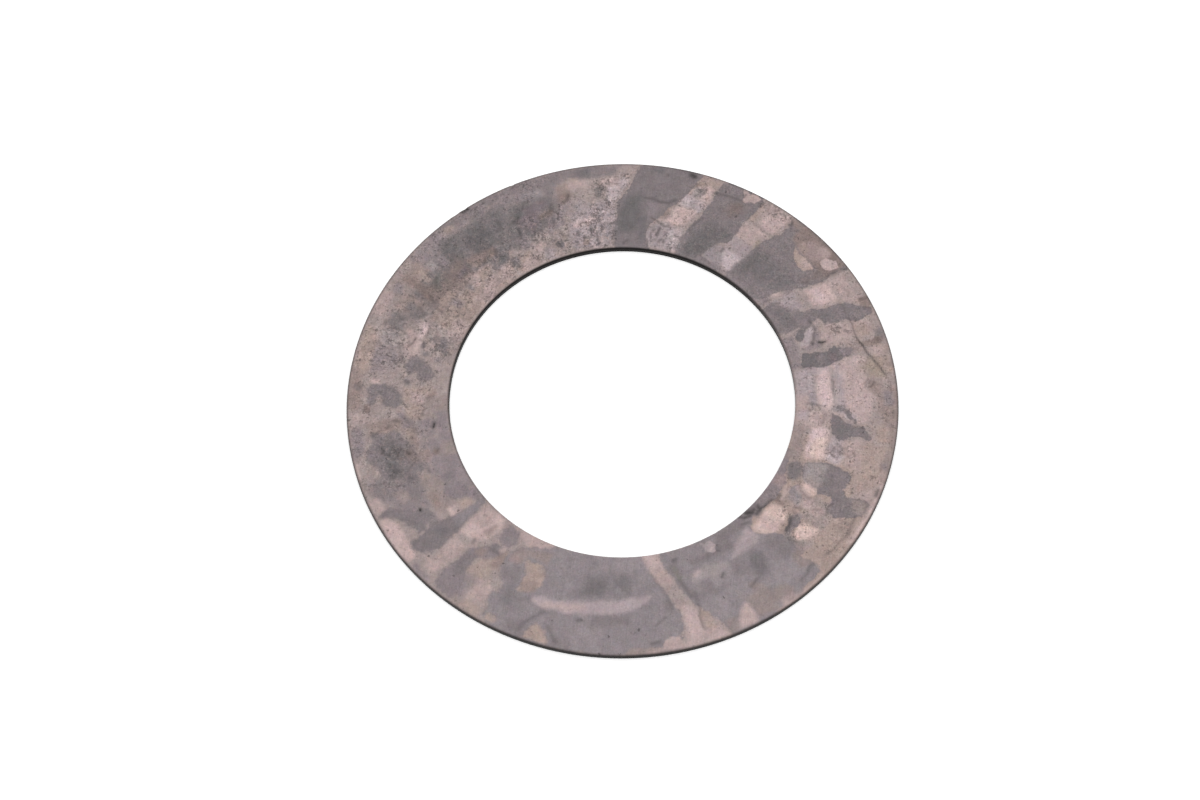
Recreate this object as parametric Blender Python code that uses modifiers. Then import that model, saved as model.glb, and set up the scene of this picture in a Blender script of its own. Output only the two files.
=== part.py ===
"""A plain flat washer, blanked from thin steel sheet.

The ring lies on its lower face. The origin is the centre of that face, and +Z is the bore's axis.

Both edges, at the rim and at the bore, were sheared in one stroke, so both have the section that shearing
leaves. Down from the upper face it is a soft roll where the sheet was drawn in before it parted, a straight
burnished land, a break that leans into the metal, and the burr's stub after tumbling.
"""

from math import cos, pi, radians, sin, tan

import bpy

# Overall sizes, in metres
OUTER_DIAMETER = 0.088
SHAFT_DIAMETER = 0.055
SHAFT_CLEARANCE = 0.0002  # on the diameter, so that the washer slides onto its shaft
SHEET_THICKNESS = 0.001

# The sheared edge, the same at the rim and at the bore
ROLL_WIDTH = 0.00022  # how far the roll reaches across the upper face
ROLL_DEPTH = 0.00012  # how far it reaches down the edge
LAND_HEIGHT = 0.00036  # the straight stretch that guides the shaft
BREAK_ANGLE = radians(1.5)  # the lean of the break, away from the land
BURR_RADIUS = 0.00003  # the tumbled corner at the lower face

# How finely the curves are cut
STEPS_ROUND = 160
STEPS_ROLL = 5
STEPS_BURR = 3

# Dull steel under a thin brown-grey stain
STEEL_COLOUR = (0.30, 0.255, 0.245, 1.0)
STEEL_ROUGHNESS = 0.42
STEEL_METALLIC = 0.85

PART = "washer"


def quarter_ellipse(width, height, steps):
    """Points (x, z) from (0, 0) to (width, -height), level at the start and upright at the end."""
    angles = [0.5 * pi * step / steps for step in range(steps + 1)]
    return [(width * sin(a), height * (cos(a) - 1.0)) for a in angles]


def lower_corner(radius, lean, steps):
    """Points (x, z) of the burr's round, from the leaning break down to the lower face.

    The round touches the lower face at (0, 0) and ends where its tangent leans as the break does.
    """
    span = 0.5 * pi - lean
    angles = [span * (1.0 - step / steps) for step in range(steps + 1)]
    return [(radius * sin(a), radius * (1.0 - cos(a))) for a in angles]


def sheared_edge():
    """Points (x, z) of the edge, from the upper face to the lower: x is 0 at the land and negative in the metal."""
    roll = [
        (x - ROLL_WIDTH, SHEET_THICKNESS + z)
        for x, z in quarter_ellipse(ROLL_WIDTH, ROLL_DEPTH, STEPS_ROLL)
    ]
    land_foot = SHEET_THICKNESS - ROLL_DEPTH - LAND_HEIGHT
    corner = lower_corner(BURR_RADIUS, BREAK_ANGLE, STEPS_BURR)
    corner_x, corner_z = corner[0]
    lean = (land_foot - corner_z) * tan(BREAK_ANGLE)
    return roll + [(0.0, land_foot)] + [(x - corner_x - lean, z) for x, z in corner]


def section():
    """The washer's whole section, as points (radius, z): across the top, down the rim, back, up the bore."""
    rim = OUTER_DIAMETER / 2
    bore = (SHAFT_DIAMETER + SHAFT_CLEARANCE) / 2
    edge = sheared_edge()
    return [(rim + x, z) for x, z in edge] + [(bore - x, z) for x, z in reversed(edge)]


def clear_scene():
    for thing in list(bpy.data.objects):
        bpy.data.objects.remove(thing, do_unlink=True)


def part_collection():
    collection = bpy.data.collections.new(PART)
    bpy.context.scene.collection.children.link(collection)
    return collection


def steel():
    material = bpy.data.materials.new("stained_steel")
    material.use_nodes = True
    surface = material.node_tree.nodes["Principled BSDF"]
    surface.inputs["Base Color"].default_value = STEEL_COLOUR
    surface.inputs["Roughness"].default_value = STEEL_ROUGHNESS
    surface.inputs["Metallic"].default_value = STEEL_METALLIC
    material.diffuse_color = STEEL_COLOUR
    return material


def washer(collection):
    """The section, turned once round the bore's axis."""
    points = section()
    count = len(points)
    mesh = bpy.data.meshes.new(PART)
    mesh.from_pydata(
        [(radius, 0.0, z) for radius, z in points],
        [(at, (at + 1) % count) for at in range(count)],
        [],
    )
    mesh.materials.append(steel())
    ring = bpy.data.objects.new(PART, mesh)
    collection.objects.link(ring)

    turn = ring.modifiers.new("Turn", "SCREW")
    turn.axis = "Z"
    turn.angle = 2 * pi
    turn.steps = STEPS_ROUND
    turn.render_steps = STEPS_ROUND
    turn.use_smooth_shade = True

    # The broad flat faces keep their own normals, and only the small rounds blend.
    shading = ring.modifiers.new("Flat faces", "WEIGHTED_NORMAL")
    shading.mode = "FACE_AREA"
    return ring


clear_scene()
washer(part_collection())
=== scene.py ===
"""The looks of a plain flat washer, blanked from thin steel sheet and stained by years of use.

The washer is one ring. Its section (rolled upper edges, burnished land, leaning break, tumbled burr) is
carried once round the bore's axis on a grid of angle by place along the section. The upper face's stain is
painted onto that grid as fields: a thin grey film lies over bare steel of a pinkish brown, in patches whose
outlines are listed below, in degrees round the bore and millimetres in from the rim. The materials turn those
fields into colour, gloss and fine grain.
"""

from math import cos, pi, radians, sin, tan

import bpy
import numpy as np
from mathutils import Matrix, Vector


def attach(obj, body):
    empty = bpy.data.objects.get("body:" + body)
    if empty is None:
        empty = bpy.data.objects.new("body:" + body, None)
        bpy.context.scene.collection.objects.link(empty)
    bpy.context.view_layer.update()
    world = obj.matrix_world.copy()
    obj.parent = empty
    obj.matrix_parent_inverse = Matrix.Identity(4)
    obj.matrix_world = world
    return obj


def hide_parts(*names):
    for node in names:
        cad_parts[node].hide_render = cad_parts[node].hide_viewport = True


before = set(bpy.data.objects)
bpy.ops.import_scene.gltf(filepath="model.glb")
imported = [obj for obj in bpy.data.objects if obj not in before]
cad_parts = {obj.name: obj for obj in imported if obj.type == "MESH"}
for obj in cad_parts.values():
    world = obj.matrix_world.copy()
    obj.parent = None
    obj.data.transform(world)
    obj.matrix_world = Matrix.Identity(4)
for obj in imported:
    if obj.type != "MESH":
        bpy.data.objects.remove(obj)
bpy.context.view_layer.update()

MM = 0.001
WASHER = "washer"

# The section, in mm. Rim, bore and thickness are read from the frame.
ROLL_WIDTH = 0.22
ROLL_DEPTH = 0.12
LAND_HEIGHT = 0.36
BREAK_ANGLE = radians(1.5)
BURR_RADIUS = 0.03

# The grid: steps round the bore, and rows along each stretch of the section
STEPS_ROUND = 1032
ROWS_FACE = 73
ROWS_UNDER = 5
ROWS_ROLL = 4
ROWS_BURR = 2

# How far the upper face sinks, in mm: under the darkest mark, and in slow waves
MARK_DEPTH = 0.02
WAVE_DEPTH = 0.012
WAVE_CELL = 6.0

# Small nicks in the upper edges: (at the rim, degrees, depth in mm, half width in degrees)
NICKS = (
    (True, 113.5, 0.10, 0.35),
    (True, 125.4, 0.08, 0.5),
    (True, 127.6, 0.06, 0.7),
    (True, 200.5, 0.05, 0.4),
    (True, 312.0, 0.05, 0.5),
    (False, 198.0, 0.12, 0.4),
    (False, 41.0, 0.05, 0.5),
    (False, 300.5, 0.05, 0.6),
)

# The camera: where it looks from, in washer radii and degrees, and where the ring's centre falls in the view
VIEW_ELEVATION = radians(62.99)
VIEW_DISTANCE_IN_RADII = 9.365
VIEW_ROLL = radians(-1.22)
LENS = 77.48
SENSOR = 36.0
IMAGE_WIDTH = 1200
CENTRE_RIGHT = 22.06  # pixels from the middle of the view to the ring's centre
CENTRE_UP = 1.92

# The studio: the floor's rings in metres, its points round each and its gap under the washer in mm, then the
# tent's strength low on the camera's side and how much more it has overhead
FLOOR_RINGS = np.array([0.3, 0.6, 1.2, 2.5])
FLOOR_STEPS = 64
FLOOR_GAP = 0.02
TENT_LOW = 0.55
TENT_MORE = 0.51

# How the outlines are painted, in mm
REACH = 1.6  # how far past an outline the fields still look at it
RAGGED_BY = 0.30  # how far rough noise moves every border, and the size of its cells
RAGGED_CELL = 1.7
CLOUDY_BY = 0.9  # how far it moves the border of a cloud besides, and the size of those cells
CLOUDY_CELL = 2.4
SOFT_SIDE = radians(200.0)  # the side of the ring where the film's borders are softest
BORE_GRIME_SIDE = radians(110.0)  # the side where the bore's edge is darkest, as painted shade

# Tones as seen under the studio light: red, green and blue, 0 to 255
TONES = {
    "ink": (68, 64, 65),
    "dark film": (100, 95, 97),
    "slate": (108, 104, 105),
    "film": (118, 112, 114),
    "mid film": (130, 121, 123),
    "mauve": (139, 128, 131),
    "lilac film": (143, 134, 137),
    "dusk": (150, 140, 143),
    "sage": (130, 125, 121),
    "green film": (112, 110, 107),
    "brown film": (127, 113, 110),
    "purple film": (121, 110, 114),
    "ash": (157, 147, 147),
    "brown": (137, 121, 117),
    "umber": (147, 131, 127),
    "olive": (150, 136, 126),
    "fawn": (150, 136, 134),
    "clay": (158, 140, 139),
    "tan": (164, 146, 140),
    "pale": (158, 144, 142),
    "pink": (174, 155, 153),
    "rose": (183, 163, 162),
    "heather": (160, 147, 150),
    "lilac": (168, 155, 158),
    "bright": (190, 168, 166),
    "cream": (206, 182, 176),
    "blush": (202, 180, 181),
    "frost": (184, 170, 173),
    # A pale tone for painted highlights, where the upper face catches the light
    "sheen": (173, 158, 161),
}
BARE_GROUND = "pale"
FILM_GROUND = "film"

# The stain on the upper face, painted in this order. A patch is (kind, tone, outline). "film" and "bare" have
# crisp, ragged borders. A "wash" tints whatever lies there, fading out at its outline, and a "cloud" does so
# over a wider border.
STAINS = (
    # The right side, bare but for a few films
    ("cloud", "rose", [(-8, 4.5), (0, 3.8), (9, 4), (10.5, 8), (9.5, 12.5), (0, 12.8), (-8, 9)]),
    ("wash", "lilac", [(-4, 13), (9, 13), (9, 16.2), (-4, 16.2)]),
    ("wash", "heather", [(5.8, 12.6), (9.2, 12.4), (9.2, 14.6), (6, 14.6)]),
    ("wash", "tan", [(4.6, 0.3), (12, 0.3), (12, 2.8), (8.6, 3.4), (3.4, 4.6), (3.2, 2.6)]),
    ("wash", "pink", [(8.4, 0.8), (11.8, 0.8), (12, 3.4), (9.8, 3.2)]),
    ("wash", "umber", [(-0.6, 2.4), (3.2, 2.4), (3.4, 4.6), (0, 4.6)]),
    # The end of the painted highlight band that runs from 338 degrees, as a sheen wash
    ("wash", "sheen", [(5.6, 10.5), (9.4, 10.3), (9.4, 12.6), (5.8, 12.6)]),
    ("cloud", "olive", [(3.4, 1.6), (7.6, 1.6), (10.4, 3.8), (9.4, 5.6), (4.4, 5.2)]),
    ("wash", "mauve", [(9.5, 14.4), (21, 14.2), (21, 16.4), (9.5, 16.4)]),
    ("cloud", "pink", [(14.8, 2.2), (19, 1.4), (20, 6), (22, 8.8), (20.6, 9.6), (15, 9.4), (14, 7)]),
    ("wash", "tan", [(14.6, 2.4), (18.6, 2.4), (18.6, 4.6), (14.8, 4.6)]),
    ("wash", "mid film", [(12.8, 0.2), (16.4, 0.2), (15.8, 1.8), (13.6, 2)]),
    ("wash", "mauve", [(14.2, 10.4), (20.6, 10.4), (19.4, 11.2), (17, 12.4), (16.6, 14), (14.8, 14)]),
    ("wash", "pink", [(14.6, 8.2), (18.8, 8.2), (18.6, 10.3), (14.8, 10.3)]),
    # The first tongue of film, from the rim to the bore
    ("film", "umber", [
        (12.2, 0.8), (13.8, 1), (14, 2.5), (13.2, 3.8), (14, 4.6), (13.6, 5.6), (12.8, 6.6), (11.8, 6.8),
        (11.9, 5.2), (12.3, 4), (12, 2.2)]),
    ("wash", "brown film", [(12, 0.6), (14, 0.6), (14, 2.6), (12.2, 2.4)]),
    ("wash", "pale", [(11.4, 4.4), (13.4, 4.4), (13.4, 6.4), (11.4, 6.4)]),
    ("wash", "rose", [(7.6, 4), (10.2, 4), (10.6, 6.4), (8.4, 6.8)]),
    ("film", "film", [
        (11.6, 6.2), (12.8, 6.2), (12.9, 7.4), (13.2, 8.4), (14.2, 8.9), (12.9, 10.2), (13.2, 11.8),
        (14.4, 14), (12, 14.4), (9.4, 14.8), (8.7, 13), (8.5, 11.4), (9, 9.8), (9.8, 7.8), (10.6, 6.8)]),
    ("wash", "mauve", [(10.2, 6), (13, 6), (13, 8.2), (10, 8.2)]),
    ("wash", "purple film", [(9.2, 8.5), (12.6, 8.5), (12.6, 10), (9, 10)]),
    ("wash", "mid film", [(8.8, 10.6), (13, 10.6), (13.4, 12.2), (8.8, 12.2)]),
    ("wash", "mauve", [(17.8, 10.1), (21.8, 10.1), (21.2, 11), (18, 11.2)]),
    # The second tongue
    ("film", "mid film", [
        (20, 0.3), (21.4, 0.3), (22.2, 1.6), (22.6, 2.8), (23.6, 3.6), (24.6, 4.4), (24.8, 6), (25.4, 8),
        (26.2, 9.8), (27.4, 11), (29.2, 11.8), (31.2, 12.8), (32.6, 14), (34.2, 15), (34.6, 16.4), (23, 16.4),
        (22.3, 15), (22.8, 13), (22.3, 12.2), (20.6, 12.2), (22, 11), (23.2, 10.4), (22.6, 9.4), (21.4, 8.4),
        (20.6, 7.2), (20.3, 5.8), (19.4, 4.4), (18.9, 3.2), (19.2, 1.8)]),
    ("cloud", "film", [(21.6, 6.4), (24.2, 6.6), (25.2, 9.6), (23.4, 9.8), (21.8, 8.4)]),
    ("wash", "mauve", [(22, 10.8), (24.6, 10.8), (25.6, 12.2), (22.8, 12.2)]),
    ("wash", "film", [(24, 12.8), (30.6, 12.8), (31.6, 15), (24, 15)]),
    ("wash", "mid film", [(20.8, 12.4), (24.4, 12.4), (24.4, 14.8), (21, 14.8)]),
    ("film", "umber", [(21.4, 0.2), (24.2, 0.2), (24, 2), (22.6, 2.4)]),
    ("film", "film", [
        (18, 13.4), (19.2, 12.7), (20.6, 12), (22, 12.3), (21.6, 13.2), (20.6, 14.1), (19, 14.2)]),
    ("bare", "lilac", [
        (16.6, 12.8), (18, 11.9), (19.6, 11.2), (21.2, 10.9), (21.6, 11.3), (20.4, 12), (18.8, 12.7),
        (17.6, 13.5), (16.8, 13.8)]),
    # The pale band between the second tongue and the big dark one
    ("wash", "bright", [(25, 4.6), (31.4, 4), (32, 8), (32.6, 8.8), (27, 8.9), (26, 8)]),
    ("wash", "blush", [(26.4, 6.2), (31, 6), (31.8, 7.8), (27.2, 8.2)]),
    ("wash", "heather", [(27.5, 10.2), (33.4, 10), (34.6, 12), (34, 13.4), (31, 13.2), (28.6, 12.2)]),
    ("wash", "pink", [(33.8, 11.6), (35.6, 11.8), (36.6, 13.4), (34.6, 13.4)]),
    ("wash", "dusk", [(32.6, 12.9), (34.6, 13), (35, 15.4), (33, 15.4)]),
    ("wash", "pink", [(22.6, 2), (31, 1.4), (31.2, 4), (25, 4.2)]),
    ("wash", "mauve", [(33.2, 9.6), (35, 10), (36, 11.4), (33.8, 11.6)]),
    ("wash", "mauve", [(36.6, 13.4), (39.6, 13.6), (39.6, 16.2), (35, 16.2), (35, 14.6)]),
    # The big dark tongue, brown at the rim
    ("film", "mid film", [
        (31, 0.2), (48.6, 0), (48.2, 1.4), (47.4, 2.4), (47.9, 3.7), (49, 5), (49.6, 6.5), (50.4, 8),
        (51.1, 10), (51.5, 12), (52, 13.5), (52.2, 15), (52, 16.4), (39.2, 16.4), (38.2, 15.6), (37.4, 14.4),
        (36.6, 13.2), (35.6, 11.8), (34.6, 10.8), (34.2, 9.8), (33.8, 9.2), (33, 8), (32, 6.4), (32, 4.6),
        (32.4, 3), (32, 1.6)]),
    ("wash", "brown", [(32, 0), (46, 0), (45.5, 3.6), (40, 4.6), (36.4, 4.8), (32.2, 4.4)]),
    ("cloud", "brown film", [(32.4, 4.2), (35.2, 4.2), (35.4, 7.6), (33.2, 7.8)]),
    ("wash", "clay", [(36, 0.6), (41.6, 0.7), (43, 4.2), (38.4, 4.5), (35.8, 3.4)]),
    ("cloud", "film", [(40, 9.6), (43, 9), (47.4, 9.4), (48.6, 12.6), (43, 13.4), (40.4, 11.6)]),
    ("wash", "film", [(35.2, 8.8), (40.4, 8.8), (40.4, 12.8), (37.4, 13), (35.8, 11)]),
    ("cloud", "slate", [(46, 8.4), (50.2, 8.6), (51.2, 14), (46.4, 14)]),
    ("bare", "rose", [
        (32.5, 1.4), (33.6, 1), (35, 1.2), (36.2, 2.1), (36.4, 3), (35.4, 3.6), (34.2, 3.6), (33.2, 2.9)]),
    ("wash", "pink", [(36, 0.9), (38.6, 0.6), (39.8, 1.3), (38.8, 2.7), (36.4, 2.8)]),
    ("wash", "tan", [(40, 2.6), (42.4, 2.8), (42.2, 4.2), (40.2, 4.2)]),
    ("wash", "umber", [(44.4, 0.2), (49, 0.2), (49.2, 1.4), (46, 1.6)]),
    ("bare", "tan", [
        (35.6, 5), (37, 4.9), (39, 4.5), (41, 4.6), (43.4, 4.3), (42.4, 5.4), (41, 6.1), (39.4, 6.5),
        (37.4, 6.3), (35.8, 5.7)]),
    ("wash", "pink", [(36.6, 4.8), (39, 4.6), (40.4, 5.2), (38.4, 6.2), (36.8, 5.8)]),
    # The pale band after it
    ("wash", "pink", [(48.4, 0.4), (55.4, 0.4), (55.6, 2.6), (48.8, 2.6)]),
    ("wash", "bright", [(48.2, 0.8), (51, 0.8), (51.2, 2.7), (48.6, 2.7)]),
    ("wash", "rose", [(48.4, 2.4), (53.6, 2.2), (54, 5), (49.4, 5.2)]),
    ("wash", "tan", [(54.8, 1.4), (56.6, 1.4), (57.2, 5), (55, 5)]),
    ("wash", "pink", [(49.8, 5.4), (57, 5.4), (57.4, 9), (52, 9.2), (50.2, 7)]),
    ("wash", "olive", [(50, 7.2), (51.2, 7.2), (51.4, 8.6), (50.2, 8.6)]),
    ("wash", "heather", [(51, 9.2), (57.4, 8.6), (58.6, 11), (51, 12)]),
    ("wash", "frost", [(51.2, 11.6), (57.4, 11.4), (57.2, 14.2), (52, 15.4)]),
    ("wash", "dusk", [(57.6, 11.4), (61.4, 11.8), (62.2, 15), (54.6, 15.6), (56.2, 13.6)]),
    # Film from there to the next pale band
    ("film", "mid film", [
        (56, 0), (66, 0), (66.2, 1.5), (66.4, 3), (66.6, 4.6), (67.1, 6), (67.7, 7.3), (67.9, 8.3),
        (68.7, 9.3), (69.5, 10), (69.5, 11.3), (69.9, 12), (70.7, 12.5), (71, 13.5), (71.3, 15), (71.5, 16.4),
        (55, 16.4), (57, 15.6), (58.6, 15.3), (62.2, 14.8), (61.8, 13.6), (61, 12), (59.8, 11), (57.8, 10.9),
        (57, 10), (57.3, 8), (57.2, 6.2), (56.8, 5), (56.2, 3.5), (56, 2)]),
    ("cloud", "slate", [
        (59, 8.5), (65, 8.4), (67, 10.8), (69.4, 12.4), (69.6, 15.6), (63, 15.8), (62, 12), (59.5, 10.4)]),
    ("bare", "pink", [
        (56.6, 0.4), (58.4, 0.1), (59.4, 0.5), (61.4, 0.2), (61.2, 0.9), (60.2, 1.2), (60.4, 1.9),
        (59.6, 2.5), (58.8, 1.9), (57.6, 2.1), (57.2, 1.2)]),
    ("cloud", "brown film", [(59.4, 2.8), (63, 3.6), (63.4, 5.6), (61, 6), (59, 5)]),
    ("wash", "mauve", [(44.6, 15.2), (64, 15.2), (64, 16.2), (44.6, 16.2)]),
    ("wash", "slate", [(57.8, 8.8), (61, 8.8), (61, 10.6), (58.2, 10.4)]),
    # The third pale band, speckled towards the bore
    ("wash", "tan", [(66.2, 0.2), (71.2, 0.2), (72, 3), (66.6, 3)]),
    ("wash", "bright", [(66.6, 2.4), (69.6, 1.8), (72.4, 3.4), (74, 5.4), (71, 7.2), (67.6, 6.4)]),
    ("wash", "lilac", [(67.6, 5), (73.6, 4.6), (74.4, 7), (68.4, 7.8)]),
    ("wash", "frost", [(71.4, 4.6), (73.6, 4.8), (74.2, 7), (71.8, 7)]),
    ("wash", "ash", [(68.8, 2.6), (71.8, 2.8), (72.2, 4.8), (69.8, 5.2)]),
    ("wash", "bright", [(69, 7.4), (75, 7.2), (75.8, 9.4), (78.6, 10.4), (74, 11.2), (70.6, 10.4)]),
    ("wash", "frost", [(74.4, 10.5), (78.4, 10.8), (78.6, 14.6), (74.6, 14.6)]),
    ("wash", "umber", [(74.8, 6.8), (77.6, 7.8), (79.2, 9.7), (76.6, 10.2), (75.4, 9)]),
    ("wash", "lilac", [
        (70, 11.4), (75.6, 11.4), (80.4, 11.4), (82, 13.4), (80.4, 15.8), (71.4, 15.8), (70.6, 13)]),
    ("wash", "heather", [(77.2, 11.6), (81, 12.2), (81, 14.4), (77.4, 15)]),
    ("wash", "frost", [(71.8, 12.3), (75.4, 12.3), (75.4, 14.9), (72, 14.9)]),
    # The broad film at the far side
    ("film", "mid film", [
        (71, 0), (85, 0), (85.5, 2), (86.5, 3.5), (87.4, 5), (88.5, 6.3), (90, 7.5), (90.6, 9), (90.4, 10.4),
        (91.5, 12), (91.9, 14), (91.7, 16.4), (79.5, 16.4), (80, 15.6), (80.8, 14.5), (81.5, 13.6),
        (81.5, 12.8), (80.8, 11.8), (80, 11), (79, 10.3), (77.8, 9.6), (77, 8.5), (76, 7.5), (74.6, 7),
        (74, 5.5), (73, 4.5), (72, 3), (71.2, 1.5)]),
    ("wash", "film", [(79, 0.2), (82.5, 0.2), (82.5, 1.8), (79, 1.8)]),
    ("wash", "mauve", [(77.4, 7.1), (82.8, 7.1), (82, 10), (79.6, 10)]),
    ("wash", "film", [(81.4, 10), (84.4, 10), (84, 15), (81.6, 15)]),
    ("cloud", "slate", [(83.5, 5.5), (87.6, 6), (90, 9), (91, 13.6), (87, 14), (84, 12.6), (82.8, 9)]),
    # Bare steel thick with specks, cloudy towards the left
    ("wash", "frost", [(87, 2.8), (92.8, 3), (93, 7.6), (91.6, 8.6), (90, 6.8)]),
    ("wash", "mid film", [(88.4, 0), (105, 0), (106, 3.4), (101, 2.2), (97, 2.6), (91, 2.6)]),
    ("wash", "tan", [(99, 2), (101.6, 1.8), (101.2, 2.7), (99.4, 2.9)]),
    ("wash", "film", [(95.8, 0.4), (99.2, 0.4), (99, 2.3), (96.2, 2.5)]),
    ("wash", "pink", [(89.2, 2.8), (94, 2.8), (94.2, 4.6), (90, 4.6)]),
    ("wash", "pink", [(96, 2.8), (101.5, 2.6), (102.5, 3.4), (101, 4.4), (97, 4.6)]),
    ("wash", "pale", [(95.6, 4.8), (103, 4.6), (104.6, 7.8), (96.4, 8)]),
    ("wash", "slate", [(93.2, 3.9), (94.8, 4), (95.8, 5), (95.6, 6.8), (94.4, 6.6), (93.4, 5.4)]),
    ("wash", "brown", [(101, 4), (104.8, 4.4), (106, 7), (103.6, 6.8), (101.6, 6)]),
    ("wash", "umber", [(101.6, 2.6), (105, 2.8), (105, 4.6), (102, 4.6)]),
    ("wash", "heather", [(92, 7), (97, 7.4), (103, 8.4), (105, 12), (92, 12)]),
    ("wash", "frost", [(91, 8.6), (95.6, 8.6), (96.4, 11.2), (91, 11.2)]),
    ("wash", "blush", [(96.8, 10), (102.8, 9.9), (103.4, 11.6), (98.4, 11.6)]),
    ("wash", "mauve", [(102.2, 6.4), (105.8, 6.6), (106, 8.8), (102.6, 8.6)]),
    ("cloud", "dusk", [(98.8, 6.6), (102.4, 6.6), (102.4, 8.8), (99, 8.8)]),
    ("wash", "lilac", [(92, 11.6), (105, 11.4), (105, 15.9), (92.4, 15.9)]),
    ("wash", "lilac", [(90.2, 8.6), (93, 8.6), (93, 10.8), (91, 11)]),
    ("wash", "dusk", [(90.6, 11.4), (95.6, 11.6), (95, 14.6), (91.4, 14.4)]),
    ("wash", "mid film", [(103, 0.6), (114, 0.6), (113, 3), (105, 4)]),
    ("wash", "mauve", [(113, 1), (121, 1), (119, 3.4), (112, 3.6)]),
    ("wash", "dusk", [(107, 2.5), (113, 2.3), (112.8, 4.2), (108, 4)]),
    ("wash", "mid film", [(104, 0), (136, 0), (136, 0.9), (122, 1.6), (104, 1.2)]),
    ("cloud", "film", [
        (105, 4), (112, 3.2), (124, 2), (132, 2.4), (140, 3.8), (151.6, 4.4), (151.6, 9.6), (140, 11.4),
        (131, 11), (124, 11.4), (112, 10.8), (106.4, 8)]),
    ("wash", "mauve", [(104.6, 7.2), (108.6, 8.4), (111, 11.4), (104.8, 10.6)]),
    ("wash", "purple film", [(107.8, 4.8), (115.4, 4.6), (115.6, 7.4), (110.4, 7.2), (107.8, 6.4)]),
    ("wash", "brown film", [(107, 6.8), (112, 7.2), (112.8, 8.4), (109.4, 8.2), (107, 7.8)]),
    ("wash", "purple film", [(111.6, 8), (114.2, 8.2), (115.6, 10.2), (113.4, 10.2)]),
    ("film", "mid film", [(107, 8.6), (108.4, 8.6), (108.4, 9.8), (107.2, 9.6)]),
    ("film", "mid film", [(94, 12.2), (95, 11.6), (95.2, 12.6), (94.4, 12.9)]),
    ("film", "dusk", [(97.2, 11.5), (98.6, 11.3), (99.4, 12.2), (98.6, 12.9), (97.6, 12.5)]),
    ("film", "mauve", [(101.4, 12.4), (102.6, 11.9), (103.4, 12.6), (102.4, 13.4)]),
    ("wash", "mauve", [(98.6, 13.8), (102, 13.8), (102, 16), (99, 16)]),
    ("film", "umber", [(99, 14.2), (101.2, 13.9), (101.4, 15), (99.4, 15.4)]),
    ("film", "mid film", [(96.1, 13.2), (96.8, 12.9), (97, 14.6), (96.3, 14.8)]),
    ("film", "mauve", [(102.6, 14), (104.3, 13.6), (104.1, 14.4), (102.8, 14.7)]),
    ("film", "film", [(107, 13.5), (108.4, 12.8), (110, 13.2), (109.4, 14.3), (107.4, 14.4)]),
    ("film", "mid film", [(109.2, 12.4), (110.4, 12), (111.2, 12.8), (110.2, 13.1)]),
    ("film", "mauve", [(109.8, 13.9), (111.4, 13.6), (111.2, 14.8), (110.2, 14.8)]),
    ("wash", "tan", [(112, 11.8), (117, 12.6), (124, 13), (125, 15.9), (112, 15.9)]),
    ("wash", "pale", [(110.6, 11), (118, 11.8), (118, 15.9), (110.6, 15.9)]),
    ("wash", "pink", [(113.6, 12), (115.8, 12.4), (115.6, 13.8), (113.8, 13.6)]),
    ("wash", "heather", [(110.8, 13.8), (114.4, 13.8), (114.4, 16), (111, 16)]),
    ("wash", "rose", [(117.6, 14.2), (123, 13.8), (123.4, 16), (117.8, 16)]),
    ("wash", "pink", [(117, 14.2), (120.4, 14), (120.4, 16), (117.2, 16)]),
    ("wash", "mauve", [(116, 9.6), (119.6, 9.4), (119.4, 12.4), (116.4, 12.2)]),
    # The big cloud at the upper left
    ("cloud", "slate", [(114.8, 5.6), (118.6, 5.8), (119.4, 9.4), (116.8, 9.2)]),
    ("wash", "purple film", [(110.8, 6.5), (117.2, 6.5), (117.2, 8.8), (111, 8.8)]),
    ("wash", "slate", [(114, 4.7), (117.2, 4.7), (117.2, 6.5), (114.2, 6.5)]),
    ("cloud", "film", [(119.4, 3.8), (129.6, 3), (130.6, 6.8), (121, 7)]),
    ("cloud", "slate", [(124.6, 3.4), (129.4, 3.4), (129.8, 6.4), (125, 6.6)]),
    ("cloud", "film", [(119.6, 4), (123.4, 4), (123.2, 6.6), (119.8, 6.4)]),
    ("cloud", "dark film", [(124.4, 5), (131.4, 5.2), (131.2, 8.4), (125.4, 9.4)]),
    ("cloud", "slate", [(122.4, 6.2), (126.4, 6.4), (126.2, 9), (122.8, 8.8)]),
    ("wash", "brown", [(128, 8.4), (134.6, 7.6), (133.6, 10.6), (129.6, 10.4)]),
    ("wash", "brown", [(125.6, 8.7), (129.2, 8.7), (129.2, 10.5), (126, 10.5)]),
    ("wash", "mid film", [(120.6, 0.4), (130, 0.4), (130, 2.2), (122, 2.8)]),
    ("wash", "tan", [(130.2, 0.8), (132.2, 0.8), (132.4, 2.2), (130.4, 2.2)]),
    ("wash", "mauve", [(132.4, 0.4), (143, 0.4), (142.6, 3.6), (137, 3.8), (133, 2.6)]),
    ("cloud", "slate", [(132, 2), (137.4, 2.2), (138, 6.6), (134.4, 7.4), (132.2, 5.6)]),
    ("cloud", "brown film", [(134.6, 6.2), (150, 6), (150.8, 9.8), (142, 11), (134.6, 10.6)]),
    ("film", "mid film", [
        (123.8, 11.4), (125.4, 10.6), (127.8, 10.6), (129.8, 11.4), (130.4, 12.5), (128.8, 12.9), (127, 12.5),
        (125, 12.6), (124.2, 12.2)]),
    ("film", "mid film", [(122.2, 12.9), (124, 12.2), (125.2, 13.2), (124.2, 14.7), (122.6, 14.3)]),
    ("wash", "slate", [(124, 11), (128.4, 10.9), (128.2, 12.6), (124.2, 12.4)]),
    ("wash", "tan", [(125.6, 13.4), (136, 13), (137, 16.2), (125, 16.2)]),
    ("wash", "tan", [(130.8, 10.8), (136, 10.6), (136, 13), (131, 13)]),
    ("wash", "pink", [(129.2, 12.8), (132.6, 12.8), (132.6, 14.8), (129.4, 14.8)]),
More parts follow.
